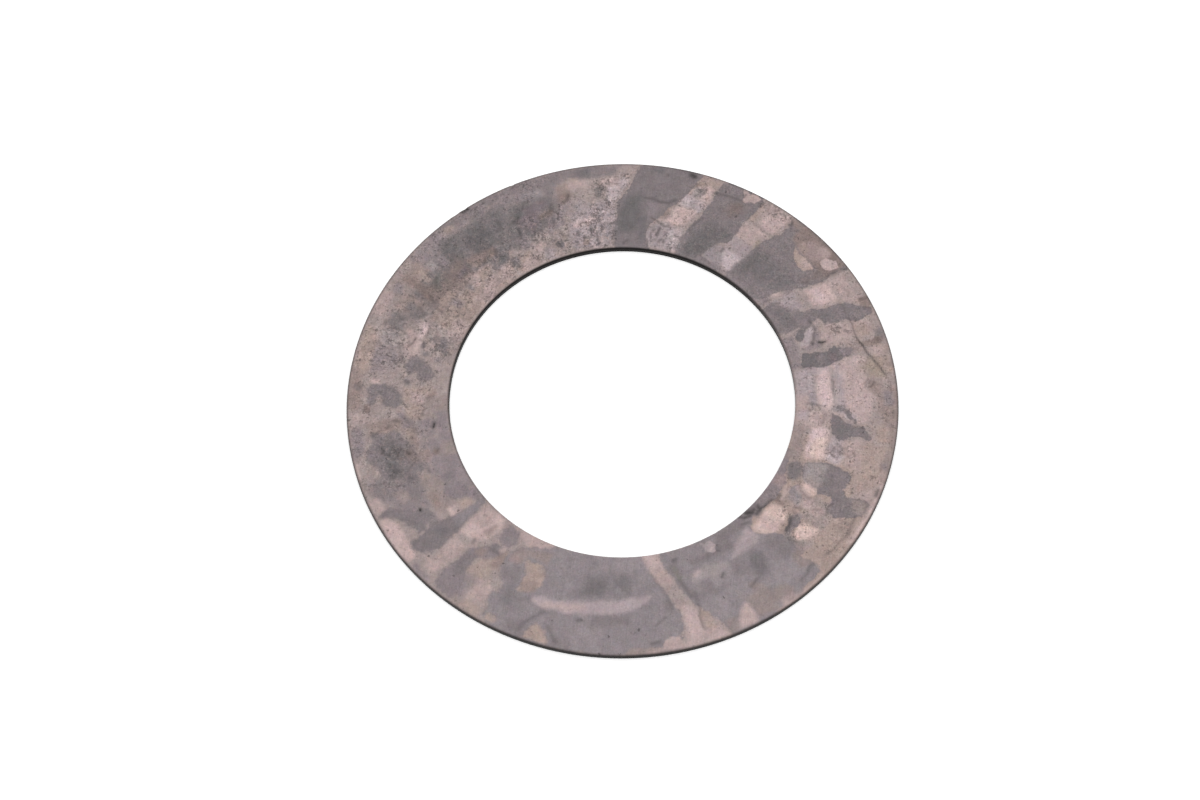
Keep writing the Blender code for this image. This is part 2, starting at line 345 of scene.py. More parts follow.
    ("wash", "pink", [(130, 13), (140, 13.4), (140, 16), (130.6, 15.4)]),
    ("wash", "pink", [(125.6, 13.4), (130.4, 13.4), (130.4, 16.2), (125.6, 16.2)]),
    ("wash", "purple film", [(135, 8.6), (139.2, 8.6), (139.2, 10), (135.4, 10)]),
    ("wash", "ash", [(139.6, 3.4), (141.8, 3.4), (142.2, 5.2), (140, 5.4)]),
    ("cloud", "green film", [(141, 5.6), (144.6, 6), (144.8, 7.6), (141.4, 7.8)]),
    ("cloud", "umber", [(142, 1.4), (149, 1.4), (149.4, 4.6), (142.6, 4.8)]),
    ("wash", "brown", [(145.4, 2), (148, 2), (148.2, 5), (145.6, 5)]),
    ("wash", "brown film", [(145.2, 4), (148.6, 4.8), (149.6, 8.6), (145.6, 8.6)]),
    ("wash", "tan", [(143.2, 2.8), (144.8, 2.6), (145.3, 5), (144.4, 6.3), (143, 5)]),
    ("wash", "mauve", [(136.8, 3.8), (139.4, 3.8), (139.4, 6), (137, 6)]),
    # The left side, down to the cluster
    ("wash", "tan", [(136, 11.4), (155, 11), (156, 15.9), (136, 15.9)]),
    ("wash", "pink", [(136.4, 13.6), (142.4, 13.6), (142.4, 16.2), (136.4, 16.2)]),
    ("wash", "rose", [(134.8, 13.8), (138.2, 13.8), (138.2, 16), (135, 16)]),
    ("wash", "umber", [(136, 9.8), (154, 9.4), (154, 11), (136, 11.4)]),
    ("wash", "tan", [(143.4, 9.4), (149.8, 9.2), (149.6, 10.9), (144, 11)]),
    ("wash", "mauve", [(144.2, 11), (147, 11), (147, 13), (144.6, 13)]),
    ("wash", "mid film", [(138.4, 11.2), (140.6, 11.2), (140.4, 13), (138.6, 12.8)]),
    ("wash", "pink", [(134.8, 10.5), (138.2, 10.5), (138.2, 12.8), (135, 12.8)]),
    ("cloud", "umber", [(149.6, 3.2), (155.4, 3), (155.8, 7.8), (150, 8)]),
    ("cloud", "film", [(155, 3.4), (160.2, 3.6), (160.2, 6.8), (155.4, 6.6)]),
    ("cloud", "film", [(151.6, 5.4), (156.4, 5.6), (155.8, 9), (151.8, 8.8)]),
    ("cloud", "ash", [(159, 3), (164.4, 3.4), (164, 6.4), (160, 6.2)]),
    ("wash", "pink", [(151.4, 0.2), (158, 0.2), (158, 2.2), (151.6, 2.2)]),
    ("wash", "mauve", [(148.4, 1.4), (151.4, 1.6), (151, 3.4), (148.6, 3.2)]),
    ("wash", "pink", [(149.4, 13.4), (157, 13.2), (157, 15.9), (149, 15.9)]),
    ("wash", "pink", [(157.6, 7.2), (160, 6.8), (165.4, 8), (165.4, 10.2), (159, 9.8)]),
    ("wash", "fawn", [(155.6, 6.4), (159, 6.4), (159.2, 8.6), (155.8, 8.4)]),
    ("wash", "bright", [(160.6, 8.8), (165, 8.4), (165.2, 9.8), (161.4, 10.1)]),
    ("wash", "blush", [(154.8, 8.9), (160.8, 9), (160.4, 10.2), (155.6, 10.3)]),
    ("wash", "pink", [(160.2, 11.3), (163.4, 11.1), (163, 12.5), (160.6, 12.5)]),
    ("film", "mauve", [(161.2, 10.5), (162.4, 10.1), (163.2, 10.6), (162.2, 11)]),
    ("film", "mid film", [(163.8, 11.2), (164.9, 10.8), (165.5, 11.6), (164.6, 12.1)]),
    ("film", "mid film", [(158.3, 11.5), (159.6, 11.2), (160.2, 12.2), (158.9, 12.8)]),
    ("cloud", "pale", [(156.4, 12.4), (166, 12), (169, 13.4), (176, 14), (176, 16.2), (158, 16)]),
    ("wash", "fawn", [(156.8, 13.9), (165.6, 14.2), (166, 15.9), (157, 15.9)]),
    ("film", "mid film", [
        (157.6, 13), (159.4, 12.8), (160.6, 12.5), (162.2, 13.2), (163.8, 14.6), (162, 14.9), (160.4, 14.4),
        (158.6, 14.2)]),
    ("film", "mid film", [(164.6, 13), (166.2, 12.8), (167, 13.6), (165.4, 14)]),
    ("cloud", "mauve", [(164, 3), (171.8, 3), (172, 7), (165, 7.2)]),
    ("wash", "pink", [(159.6, 8.4), (165.2, 8.4), (165.4, 10.3), (160.4, 10.2)]),
    ("film", "mid film", [
        (165.6, 9.9), (166.5, 9.2), (168.6, 8.7), (171.2, 9.2), (171.6, 9.8), (170.4, 10.6), (172.5, 10.9),
        (173.6, 11.5), (173.4, 12), (172.4, 12.3), (172.2, 13.2), (171, 13.6), (169.4, 13.5), (168.4, 12.8),
        (167.4, 11.9), (166.8, 10.9)]),
    ("film", "mid film", [(172.8, 9), (173.8, 8.5), (174.9, 9), (174.6, 9.9), (173.2, 9.9)]),
    ("wash", "tan", [(160, 0.3), (172, 0.3), (172.4, 3), (161, 3)]),
    ("wash", "umber", [(171, 0.1), (182, 0.1), (181.6, 2.6), (172, 2.2)]),
    ("wash", "mid film", [(175, 0.8), (176.6, 0.8), (176.8, 2.2), (175.2, 2)]),
    ("wash", "bright", [(173.2, 3.2), (174.6, 3.2), (174.7, 5.2), (173.4, 5.2)]),
    ("wash", "tan", [(175, 9.2), (181, 9), (181, 12.8), (177.4, 14.6), (174.8, 14.4)]),
    ("wash", "pink", [(176.4, 10.2), (180.6, 10.2), (180.6, 12.8), (177, 12.8)]),
    ("wash", "fawn", [(178, 12.4), (182.4, 12.4), (182.4, 16.3), (177, 16.3)]),
    ("wash", "fawn", [(171.6, 9.8), (174.4, 10), (174.8, 11.6), (173.4, 11.6)]),
    ("film", "mid film", [
        (174.8, 3.6), (176.2, 3), (178.2, 3.4), (180.6, 3.2), (180.8, 4.2), (178.4, 4.6), (178.2, 5.6),
        (181, 5.8), (181.4, 7.6), (180.6, 8.8), (177.8, 8.6), (175.6, 8), (174.9, 6)]),
    ("film", "brown film", [(180.2, 2.6), (182.4, 2.8), (182.4, 3.8), (180.4, 3.9)]),
    ("wash", "pink", [(182.4, 0.8), (184.6, 0.8), (185.4, 3.6), (182.6, 3.6)]),
    ("wash", "mauve", [(182.4, 7.8), (187, 8.6), (189.6, 10.6), (186, 10.8), (183.4, 9.8)]),
    ("wash", "umber", [(187, 8.6), (192, 9.4), (196, 10.6), (192, 11.2), (187.6, 10.8)]),
    ("wash", "mauve", [(186, 0.1), (193.4, 0.1), (193, 2), (187, 2.2)]),
    ("wash", "mauve", [(185.6, 0.6), (192.4, 0.6), (192.2, 2.6), (186, 2.6)]),
    ("wash", "mid film", [(185.8, 12.6), (189.2, 12.6), (189.2, 14.6), (186, 14.6)]),
    ("wash", "umber", [(184.4, 3), (188.4, 3.2), (188.4, 8.8), (184.6, 9)]),
    # The cluster at the left, with its darkest spots
    ("film", "mid film", [
        (187.2, 3.8), (191, 3.4), (191.5, 2.6), (193.5, 2.1), (195.6, 2.9), (196.8, 3.4), (199, 3.6),
        (200.3, 4.6), (201.3, 6.5), (204.5, 8.5), (202, 9.2), (201.5, 10), (200, 10.8), (197, 10.2),
        (194.5, 10.2), (192, 9.4), (190, 8.6), (188.5, 8.2), (188, 7), (188.5, 6), (187.8, 5)]),
    ("cloud", "film", [(190, 4.4), (198, 5), (200, 6.8), (196, 8), (191, 7.6)]),
    ("cloud", "slate", [(196.6, 4.8), (200.4, 5.2), (200.6, 7.4), (197.6, 7.4)]),
    ("cloud", "slate", [(190.8, 4.6), (193.6, 4.6), (194.6, 6.2), (194.4, 8.6), (191.8, 7.6)]),
    ("cloud", "brown film", [(193, 7.8), (196.6, 8), (197, 10.4), (193.4, 10)]),
    ("wash", "mauve", [(185.5, 11), (191.5, 11.2), (191.6, 14), (185.8, 13.8)]),
    ("wash", "mauve", [(183, 14), (194, 14.1), (194, 16.3), (183, 16.3)]),
    ("wash", "tan", [(181, 9), (184.6, 9.2), (186, 12.4), (181, 12)]),
    ("cloud", "mauve", [(191.6, 10.6), (200.4, 11), (207, 12.2), (207, 15.9), (192, 15.9)]),
    ("wash", "umber", [(194.6, 10.4), (198.6, 10.6), (198.4, 12.4), (194.8, 12.4)]),
    ("wash", "brown", [(195.2, 12.8), (197, 12.5), (197.6, 13.8), (196, 14)]),
    ("cloud", "mid film", [
        (198.4, 0.8), (203.4, 1.4), (206.4, 3.4), (209, 5.2), (211.8, 9.2), (203.6, 9.8), (200, 5.4)]),
    ("cloud", "mid film", [(200.6, 5.4), (207, 5.6), (207.4, 8.8), (201.6, 9)]),
    ("wash", "bright", [(208.2, 0.3), (219.6, 0.1), (219.4, 2), (217, 2.6), (212, 3), (209.6, 2.4)]),
    ("wash", "pink", [(203, 0.4), (206.8, 0.4), (206.4, 2.2), (203.4, 2.2)]),
    ("film", "mid film", [
        (207, 0.8), (208.4, 0.9), (208.4, 1.9), (209.2, 2.8), (211, 3.9), (213, 4), (214.2, 4.8),
        (215.2, 4.4), (215.6, 5.8), (214.7, 6.4), (214.4, 7.4), (213.6, 8.2), (211, 8.2), (210.4, 6.4),
        (208.6, 4.8), (206.5, 2.9), (206.6, 1.6)]),
    ("cloud", "mauve", [(206.6, 3.4), (210.4, 4), (211.4, 8.4), (207, 7)]),
    ("wash", "fawn", [(203.6, 4.4), (207.4, 4.8), (207.4, 6.8), (204, 6.8)]),
    ("wash", "fawn", [(200, 9.2), (215, 8.6), (215, 12), (204.6, 12.2), (203, 11)]),
    ("wash", "umber", [(207, 9.4), (213, 8.8), (213, 10.2), (208, 10.6)]),
    ("wash", "mid film", [(212.8, 6.6), (216.2, 6.8), (216.2, 8.4), (213.2, 8.4)]),
    ("wash", "mauve", [(199, 14), (216, 13.6), (217, 16.4), (199, 16.4)]),
    ("wash", "fawn", [(194, 13.8), (199, 14), (199, 16.4), (194, 16.4)]),
    ("film", "mid film", [
        (215.8, 2.5), (216.8, 2.1), (218.5, 2.3), (219.8, 2.9), (220.8, 4), (221.4, 5.5), (221.5, 7),
        (221, 8.5), (220.8, 10), (220, 12), (219.6, 14), (219.2, 16.2), (217.3, 16.2), (217.4, 14), (217, 12),
        (216.8, 10.5), (215.8, 9), (215.4, 7.2), (215.7, 6), (215.8, 4.6), (216.1, 3.6)]),
    ("wash", "film", [(216.4, 6.4), (219.8, 6.8), (220, 8.6), (217.4, 8.6)]),
    ("wash", "lilac film", [(216.6, 10), (220.6, 10), (219.8, 16), (217, 16)]),
    ("wash", "mid film", [(203.8, 12.4), (207, 12.6), (207, 14.7), (204, 14.6)]),
    ("film", "mauve", [
        (207.3, 12.2), (209.5, 11.7), (212, 12), (213.3, 12.9), (213.9, 13.4), (212.9, 15), (210, 15.3),
        (207, 14), (206.6, 12.8)]),
    ("wash", "pink", [(213.2, 10.5), (217, 10.5), (217.2, 12.6), (214, 12.6)]),
    ("wash", "tan", [(213.8, 12.4), (217, 12.4), (217.3, 14.8), (214.4, 14.8)]),
    ("wash", "bright", [(213.8, 10.4), (216.8, 10.2), (216.6, 11.4), (214.4, 11.3)]),
    ("wash", "mauve", [(213.4, 14.5), (217, 14.5), (217, 16.2), (213.6, 16.2)]),
    # The lower left, between the rim and the first film there
    ("wash", "mauve", [(220, 0.2), (225.6, 0.2), (225, 1.4), (220.6, 1.4)]),
    ("wash", "pink", [(221.4, 1.8), (225.4, 1.6), (225.6, 5), (221.8, 5)]),
    ("wash", "pink", [(221.6, 5), (225.6, 5), (226, 8.6), (221.6, 9)]),
    ("wash", "bright", [
        (220.8, 9.2), (225.8, 10.4), (229, 11.8), (229.4, 16.2), (225.4, 16.2), (220.8, 15.2)]),
    ("wash", "pink", [(220.8, 12.2), (225.4, 12.6), (226, 15.9), (220.4, 15.9)]),
    ("film", "mauve", [
        (226.5, 1.2), (228.5, 0.6), (231.5, 0.4), (231.7, 2), (231.6, 3.6), (230.6, 4.6), (230.2, 5.8),
        (229.8, 6.8), (229.4, 7.8), (230.7, 8.6), (232.6, 9), (234, 9.8), (234.8, 11), (233.2, 12.2),
        (230.9, 12), (229.8, 10.9), (228.4, 9.8), (226.8, 8.8), (226.4, 7.2), (226.2, 5.4), (226, 3.4),
        (226.2, 2)]),
    ("wash", "mid film", [(226.6, 4), (229.6, 4), (229.8, 8.4), (226.8, 8.4)]),
    ("wash", "umber", [(227, 11.9), (228.4, 12), (228.4, 14.4), (227.4, 14.4)]),
    ("wash", "umber", [(228, 8.6), (231, 8.8), (231, 10.5), (228.4, 10.4)]),
    # The pale band there
    ("wash", "tan", [(231.8, 0.3), (238.4, 0.3), (238, 2.2), (231.8, 2.2)]),
    ("wash", "fawn", [(231, 0.4), (234.2, 0.4), (234, 2.8), (231.2, 2.8)]),
    ("wash", "pink", [(233.4, 2.2), (237.4, 2.2), (238.2, 5.6), (236, 7), (233.6, 6)]),
    ("cloud", "mauve", [(230.8, 1.8), (233, 1.8), (233, 4.8), (230.8, 5)]),
    ("wash", "tan", [(229.8, 5.8), (234.6, 6), (236.4, 11.6), (232.4, 9.2), (230.2, 8.2)]),
    ("wash", "umber", [(233, 8.4), (236.4, 8.8), (236.6, 12), (234, 12)]),
    ("wash", "mid film", [(230.6, 10.2), (233.4, 10.4), (233, 12.2), (231, 12)]),
    ("wash", "pink", [(233.3, 11.5), (234.4, 11.4), (234.4, 12.3), (233.4, 12.3)]),
    ("film", "mauve", [
        (230.4, 13.2), (231.6, 12.3), (233.5, 12.3), (235, 12.8), (236, 13.4), (235.8, 14.4), (234.8, 15.5),
        (232, 15.8), (230.3, 15.2), (229.9, 14.2)]),
    # The broad film at the near side
    ("film", "lilac film", [
        (239.5, 0.9), (242, 0), (281, 0), (281.3, 2.2), (282.2, 3.4), (282.6, 4.6), (282.4, 6), (281.6, 7.4),
        (280.6, 9), (279.6, 10.6), (278.4, 12), (277.6, 13.2), (276.6, 14.4), (275.8, 15.4), (275.2, 16.4),
        (246.6, 16.4), (244, 15.3), (241.4, 14.8), (240, 14.3), (237, 13.6), (236.4, 12.4), (235.6, 11.2),
        (236, 10), (236.4, 9.2), (237.2, 8.2), (238.6, 7.6), (239.4, 6.8), (239, 5.7), (237.9, 5),
        (237.7, 4.2), (238.2, 3.2), (239, 2.4)]),
    ("cloud", "film", [(240, 4.4), (243.4, 4.4), (243.8, 6.8), (240.4, 7)]),
    ("cloud", "mid film", [(243, 4.6), (246, 4.6), (247, 6.6), (243, 6.8)]),
    ("cloud", "mid film", [(236.6, 7.8), (242.2, 7.4), (242, 10.6), (239.4, 11), (237, 9.6)]),
    ("cloud", "film", [(257, 8.9), (264.6, 9.4), (264.6, 12.8), (259, 12.6)]),
    ("cloud", "dusk", [(255.4, 1.6), (263.4, 1.2), (266.6, 4.4), (256, 4.8)]),
    ("cloud", "mid film", [(261, 4.6), (271, 5), (271, 7), (262, 6.6)]),
    ("cloud", "film", [(265.4, 10.4), (271.4, 10.2), (271, 13.4), (265.4, 13.4)]),
    ("cloud", "mid film", [(243.6, 0), (248.4, 0), (248, 2.6), (244, 2.6)]),
    ("cloud", "mid film", [(253.4, 0), (258.4, 0), (258, 2.4), (254, 2.6)]),
    ("wash", "fawn", [(236.4, 11.2), (241, 11.4), (241.4, 14.2), (236.8, 13.8)]),
    ("wash", "clay", [(236.4, 10.6), (240.2, 10.8), (240.2, 12.8), (236.8, 12.6)]),
    ("wash", "fawn", [(240.6, 12.8), (247.6, 12.8), (247.6, 15.2), (241, 14.4)]),
    ("cloud", "dusk", [(262, 14.2), (276, 14.2), (275, 16.3), (262, 16.3)]),
    ("wash", "mid film", [(278.8, 6.4), (281.6, 6.4), (281.2, 8.8), (278.8, 8.8)]),
    ("bare", "tan", [(239.5, 0.9), (242, 0.7), (242.2, 1.6), (240, 1.9)]),
    ("bare", "tan", [
        (242.8, 7), (244.2, 7.4), (246, 8), (247.6, 8.8), (248.2, 10), (248, 11), (247, 12), (245.5, 12.7),
        (243.5, 12.2), (241.2, 12.4), (241.3, 11.6), (242.6, 10.4), (243, 9), (242.6, 8)]),
    ("wash", "umber", [(242.8, 7), (247, 8), (247.4, 9.6), (243.2, 9.6)]),
    ("bare", "pink", [
        (235.5, 15.4), (238, 15), (240, 14.3), (241.4, 14.8), (244, 15.3), (246.5, 16), (246.5, 16.6),
        (235, 16.6)]),
    ("bare", "tan", [
        (248, 0.4), (253.8, 0.4), (253.4, 1.2), (252.6, 2.2), (251.2, 3.1), (250.2, 3.3), (249.4, 2.4),
        (248.6, 1.4)]),
    # A painted highlight: the crescent of sheen from 247 to 277 degrees, with the rose wash and a glint
    # inside it
    ("wash", "sheen", [
        (247, 6.3), (249, 5.9), (251, 5.75), (254, 6), (258, 6.1), (262, 6.4), (266, 6.8), (270, 7.2),
        (273, 7.8), (276, 8.8), (277, 9.6), (276, 9.9), (272, 9.6), (268, 9.3), (264, 9.1), (260, 8.7),
        (255, 8.2), (251, 7.9), (248.5, 7.7), (246.8, 7.2)]),
    ("wash", "rose", [(249.6, 6.4), (257, 6.5), (261, 7.2), (260, 8.2), (255, 7.7), (250, 7.3)]),
    ("bare", "fawn", [(269.5, 0), (277, 0), (277, 1.2), (270.5, 1.2)]),
    ("wash", "pink", [(273.4, 0), (282, 0), (282, 0.9), (273.8, 0.9)]),
    ("bare", "pink", [(277.3, 0.4), (281.6, 0.2), (281.6, 2.3), (279, 2.4), (277.6, 1.6)]),
    # The streak that runs slantwise from the rim to the bore, and the dark band beside it
    ("wash", "rose", [(281.6, 0.2), (286, 0.2), (286.6, 3), (286.4, 6.6), (283, 7.6), (282.8, 4)]),
    ("wash", "rose", [(286, 0.2), (291.2, 0.2), (290.6, 1.4), (286.6, 1.5)]),
    ("wash", "pink", [(285.8, 1.2), (291, 1.2), (290.6, 2.4), (286.6, 2.6)]),
    ("wash", "tan", [(286.6, 2.4), (290.6, 2.4), (289.2, 4.8), (287, 6.4)]),
    ("wash", "pale", [(281, 8), (285.4, 8), (284, 10.8), (279.8, 10.8)]),
    ("wash", "pink", [(279.6, 10.8), (283.4, 11), (281.4, 14), (277, 13.8)]),
    ("wash", "rose", [(276.6, 13.4), (281.4, 13.6), (280.4, 16.4), (275, 16.4)]),
    ("film", "lilac film", [
        (291.6, 0), (300, 0), (306, 0.4), (315, 0.8), (315, 16.4), (280.3, 16.4), (280.7, 15), (281.4, 13.8),
        (282.4, 13), (283, 12), (283.8, 10.6), (284.6, 9.4), (285.4, 8.2), (286.2, 7), (286.8, 6.2),
        (287.6, 5.6), (288.6, 5), (289.6, 4), (290.4, 2.8), (291, 1.6)]),
    ("wash", "mid film", [
        (287.2, 6.4), (288.4, 7), (288.2, 8.6), (286.6, 9.8), (285.6, 11), (285.2, 12.8), (285.6, 14.2),
        (283.4, 14.2), (282.2, 13.8), (282.6, 13), (283.6, 11.6), (284.6, 10), (285.8, 8.2)]),
    ("wash", "sage", [(283.8, 11.2), (285, 11.2), (285.2, 13.8), (283.2, 13.8)]),
    ("wash", "mid film", [(289, 12.8), (303, 12.8), (303, 14.6), (289, 14.2)]),
    ("wash", "fawn", [(291, 0.3), (293.8, 0.3), (293.8, 2.8), (291, 2.6)]),
    ("wash", "fawn", [(298, 0.8), (303, 0.4), (303.6, 5), (300, 6.8), (296, 6), (298, 3)]),
    ("wash", "dusk", [(296, 4.5), (300.4, 4.5), (300.4, 7), (296.4, 7)]),
    ("cloud", "dusk", [(289.6, 2.8), (292.6, 3), (296, 6.6), (290, 6.8)]),
    ("wash", "bright", [
        (293.2, 0.3), (295, 0.2), (297.7, 0.4), (298.2, 2), (298, 3.4), (297.2, 4.3), (295.6, 3.6),
        (294.2, 2.6)]),
    ("cloud", "mid film", [(298.4, 8.4), (302.8, 8.4), (302.6, 10.8), (299, 10.6)]),
    ("cloud", "mid film", [(288.8, 7.4), (294, 7.2), (295, 9.8), (289.6, 9.8)]),
    ("wash", "dusk", [(292, 8), (298, 8.6), (299, 10.6), (293, 10.4)]),
    # A painted highlight: the pale band from 288 to 311 degrees, 10 to 14 mm in, of the ash, lilac and sheen
    # washes
    ("wash", "ash", [
        (287.9, 10.8), (289.3, 11.8), (291, 12.3), (293, 12.5), (296, 12.1), (299.4, 11.4), (298, 10.6),
        (295.5, 9.8), (292, 9.8), (290, 10.3), (288.3, 10.1)]),
    ("wash", "lilac", [(288.1, 10.3), (290.4, 10.6), (291.8, 12), (290, 12.2), (288.6, 11.6)]),
    ("wash", "sheen", [
        (300.2, 11.3), (303, 11.2), (306, 11.1), (308.5, 10.9), (310, 11.4), (311.5, 12), (310, 14),
        (308, 14.5), (306.5, 14.1), (304.5, 13.6), (302.2, 12.6)]),
    ("bare", "heather", [
        (297, 13.6), (298.2, 14), (298.6, 15), (297, 15.8), (294.4, 16), (294.6, 15), (295.6, 14)]),
    ("wash", "dusk", [(304.4, 2.6), (314, 3), (313.6, 6), (306, 6.2)]),
    ("cloud", "film", [(303.5, 6), (306.8, 6.6), (308.4, 9.4), (306, 10.9), (303, 9.6)]),
    ("wash", "mid film", [(298.6, 14.4), (309, 14.4), (309, 16.2), (299.4, 16.2)]),
    ("cloud", "mid film", [(307.4, 14.6), (311, 14.6), (311.4, 16.4), (308, 16.4)]),
    ("cloud", "mid film", [(309, 7.4), (314.6, 6), (315.4, 9), (311, 11.2)]),
    ("wash", "pink", [(303.4, 0), (312, 0), (312, 0.8), (307.4, 1), (306.6, 1.9), (304.2, 1.9)]),
    ("wash", "fawn", [(302.6, 1.6), (308, 1.4), (307.6, 3.4), (303, 3.6)]),
    ("wash", "fawn", [(311.8, 3), (315.4, 2.8), (315.4, 6.4), (312.2, 6.2)]),
    # The bare rim at the lower right
    ("bare", "tan", [
        (309, 0), (317, 0), (330, 0), (330, 4.6), (322, 4.8), (316.4, 4.8), (313.6, 5.2), (315.4, 3),
        (315, 1.2), (309, 0.8)]),
    ("wash", "tan", [(315.4, 2.8), (321, 2.6), (324, 4.6), (316.6, 4.6)]),
    ("cloud", "umber", [(323, 2.4), (328, 1.8), (327, 4), (323.4, 4.4)]),
    ("wash", "bright", [(323, 0.1), (341, 0.1), (341, 0.9), (323, 0.9)]),
    # Mottled pink bare steel, with bright spots and dark blobs between
    ("bare", "tan", [
        (321.4, 4.4), (330, 4.4), (346, 4.4), (346, 16.4), (317, 16.4), (313, 14.8), (310, 14), (310, 12.8),
        (315, 9.8), (316.8, 8.4), (319, 5.2)]),
    ("wash", "pale", [(321.4, 5), (327, 4.8), (330, 9), (327, 9.8), (322.4, 9.8)]),
    ("wash", "mid film", [
        (314.4, 7.4), (315.6, 7), (316.2, 8.4), (319, 9), (322.6, 8.8), (322.4, 10.2), (315, 9.8)]),
    ("wash", "pink", [(325.4, 9.4), (328.6, 9.2), (328.6, 11.4), (326, 11)]),
    ("wash", "tan", [(323.2, 9.2), (325.2, 9.2), (324.8, 12.4), (322.6, 12)]),
    ("wash", "rose", [(324.6, 8.6), (328, 8.8), (328, 10.8), (324.8, 10.4)]),
    ("wash", "pink", [(323.8, 6.4), (327.2, 6.4), (327.2, 8.8), (324, 8.8)]),
    ("wash", "cream", [
        (316.6, 7.3), (318, 6.4), (319.4, 5.5), (321.2, 5.3), (322.2, 5.8), (321.8, 7), (321.2, 7.8),
        (320.2, 8.6), (318.6, 8.8), (317, 8)]),
    ("wash", "cream", [(317.2, 6.8), (320.8, 6), (321.4, 7.4), (319, 8.6)]),
    ("film", "mid film", [
        (316.2, 9.4), (318.2, 8.8), (320.5, 8.6), (322.2, 9.4), (321.4, 10.4), (319.6, 10.6), (318, 10),
        (316.8, 9.9)]),
    # The painted highlight goes on from 310 to 321 degrees, 10 to 14 mm in, in the cream and bright washes
    ("wash", "cream", [
        (311.2, 12.4), (312.6, 11.5), (314.2, 10.9), (315, 10.4), (316.4, 11), (318, 10.9), (319.4, 11.1),
        (320.4, 12), (321, 12.8), (320.6, 13.7), (319.4, 14.2), (317.5, 14.4), (315, 14), (312.8, 14),
        (311, 14), (310.4, 13.6)]),
    ("wash", "bright", [(314, 10.4), (316.6, 11.4), (317, 13), (314.6, 14.2), (312.8, 12.4)]),
    ("wash", "cream", [(317.4, 10.8), (319.4, 10.9), (320.8, 12.4), (320.8, 13.8), (318, 14.2)]),
    ("wash", "brown", [(321.6, 12.3), (324.2, 12.6), (324.4, 14.4), (321.8, 14.3)]),
    ("wash", "pink", [(323.4, 13), (327.6, 12.7), (329.4, 13.4), (326, 13.8), (323.6, 13.7)]),
    ("film", "mauve", [
        (317, 14.6), (320, 14.6), (323.4, 14.1), (329, 14.3), (330.4, 15), (334, 15.4), (340, 15.6),
        (340, 16.6), (312, 16.6)]),
    ("wash", "mid film", [
        (311.4, 15.2), (313, 14.6), (315, 14.3), (317.8, 14.4), (318.6, 15), (317.6, 15.6), (317.4, 16.4),
        (311.6, 16.4)]),
    ("wash", "ink", [(311.8, 15.8), (313, 15.3), (314.6, 15.5), (314.4, 16.3), (312, 16.4)]),
    ("wash", "dusk", [(323.8, 10.5), (327.2, 10.5), (327.2, 12.9), (324, 12.9)]),
    ("wash", "clay", [(326.2, 14), (330.4, 14.2), (330.4, 16.3), (326.2, 16.3)]),
    ("film", "dusk", [(325, 11.6), (327.2, 10.7), (328.8, 11.4), (329.8, 12.2), (328.8, 13.1), (326, 12.9)]),
    ("wash", "cream", [
        (327.8, 9.8), (329.2, 9), (331.2, 9.4), (332, 10.4), (331.8, 11.5), (330.8, 12.1), (329.4, 11.8),
        (328.4, 10.8)]),
    ("wash", "rose", [(327.4, 10.4), (330, 10.6), (330, 12.6), (327.6, 12.4)]),
    # The dark patch at the lower right
    ("film", "mid film", [
        (326.5, 4.4), (327.6, 3), (328.8, 1.9), (330.5, 1.1), (332.5, 1), (333.4, 1.6), (332.8, 2.8),
        (332.6, 4.3), (332.8, 5.2), (334.4, 5.8), (336.2, 5.3), (337.8, 5.3), (338.6, 6.2), (338.9, 8),
        (339.1, 9.6), (338.8, 11), (338.1, 12.2), (336.6, 12.9), (334, 12.7), (332, 12.2), (331.9, 11),
        (331.8, 10.2), (331, 9.4), (329.6, 9), (330.4, 8.4), (330.8, 7.2), (330.2, 6.4), (328, 6.2),
        (326.4, 5.8)]),
    ("cloud", "mauve", [(334.4, 5.6), (338.4, 5.4), (338.6, 8.4), (335, 8.2)]),
    ("wash", "mauve", [(326.8, 4.4), (330.2, 4.4), (330.2, 6.5), (327, 6.5)]),
    ("wash", "fawn", [(329.4, 0.8), (333.4, 1), (333, 3.8), (330, 3.4)]),
    ("wash", "ash", [(330.6, 9.3), (338.9, 9.1), (338.2, 12.5), (332, 12.5)]),
    ("wash", "pale", [(330.8, 9.4), (333.2, 9.4), (333.6, 12), (331.8, 12)]),
    ("wash", "film", [
        (329.8, 13.6), (331, 12.7), (333, 12.8), (334.8, 12.6), (336.4, 13.2), (336.6, 14.8), (334.6, 15.5),
        (332.6, 15.2), (330.2, 14.6)]),
    ("wash", "pink", [(333.6, 1), (342, 1), (342, 4.8), (334, 4.8)]),
    ("wash", "pink", [(339.4, 1.4), (347.6, 1.4), (347, 10), (339.6, 10)]),
    ("wash", "umber", [(338, 0.2), (361, 0.2), (361, 1.2), (338, 1)]),
    ("cloud", "tan", [(339, 0.8), (347.4, 0.8), (347.4, 4.8), (333.6, 4.6), (333.8, 3.4)]),
    ("wash", "mauve", [(341, 0.4), (343.4, 0.4), (343.4, 1.8), (341.4, 1.8)]),
    ("cloud", "umber", [(352.6, 0.2), (361, 0.2), (361, 3), (356, 3.6), (352.6, 2.4)]),
    ("wash", "tan", [(347.8, 1.2), (352, 1.2), (352, 3.4), (348, 3.6)]),
    # A painted highlight: the pale band from 338 degrees round to 9, 10 to 14 mm in, of the bright, cream,
    # blush, pink and rose washes here
    ("wash", "bright", [
        (339.6, 10.4), (341, 10.2), (345, 10.6), (349, 10.8), (349.4, 12), (349, 13.2), (345, 13.4),
        (341, 13.8), (338.4, 13.4), (338.2, 12.8), (339.2, 12)]),
    ("wash", "cream", [(339.8, 10.6), (347.6, 10.8), (347.6, 12.7), (340, 12.8)]),
    ("wash", "blush", [(347.2, 10.8), (349, 11), (349, 13.6), (345, 13.8), (340.4, 13.4), (344, 12.8)]),
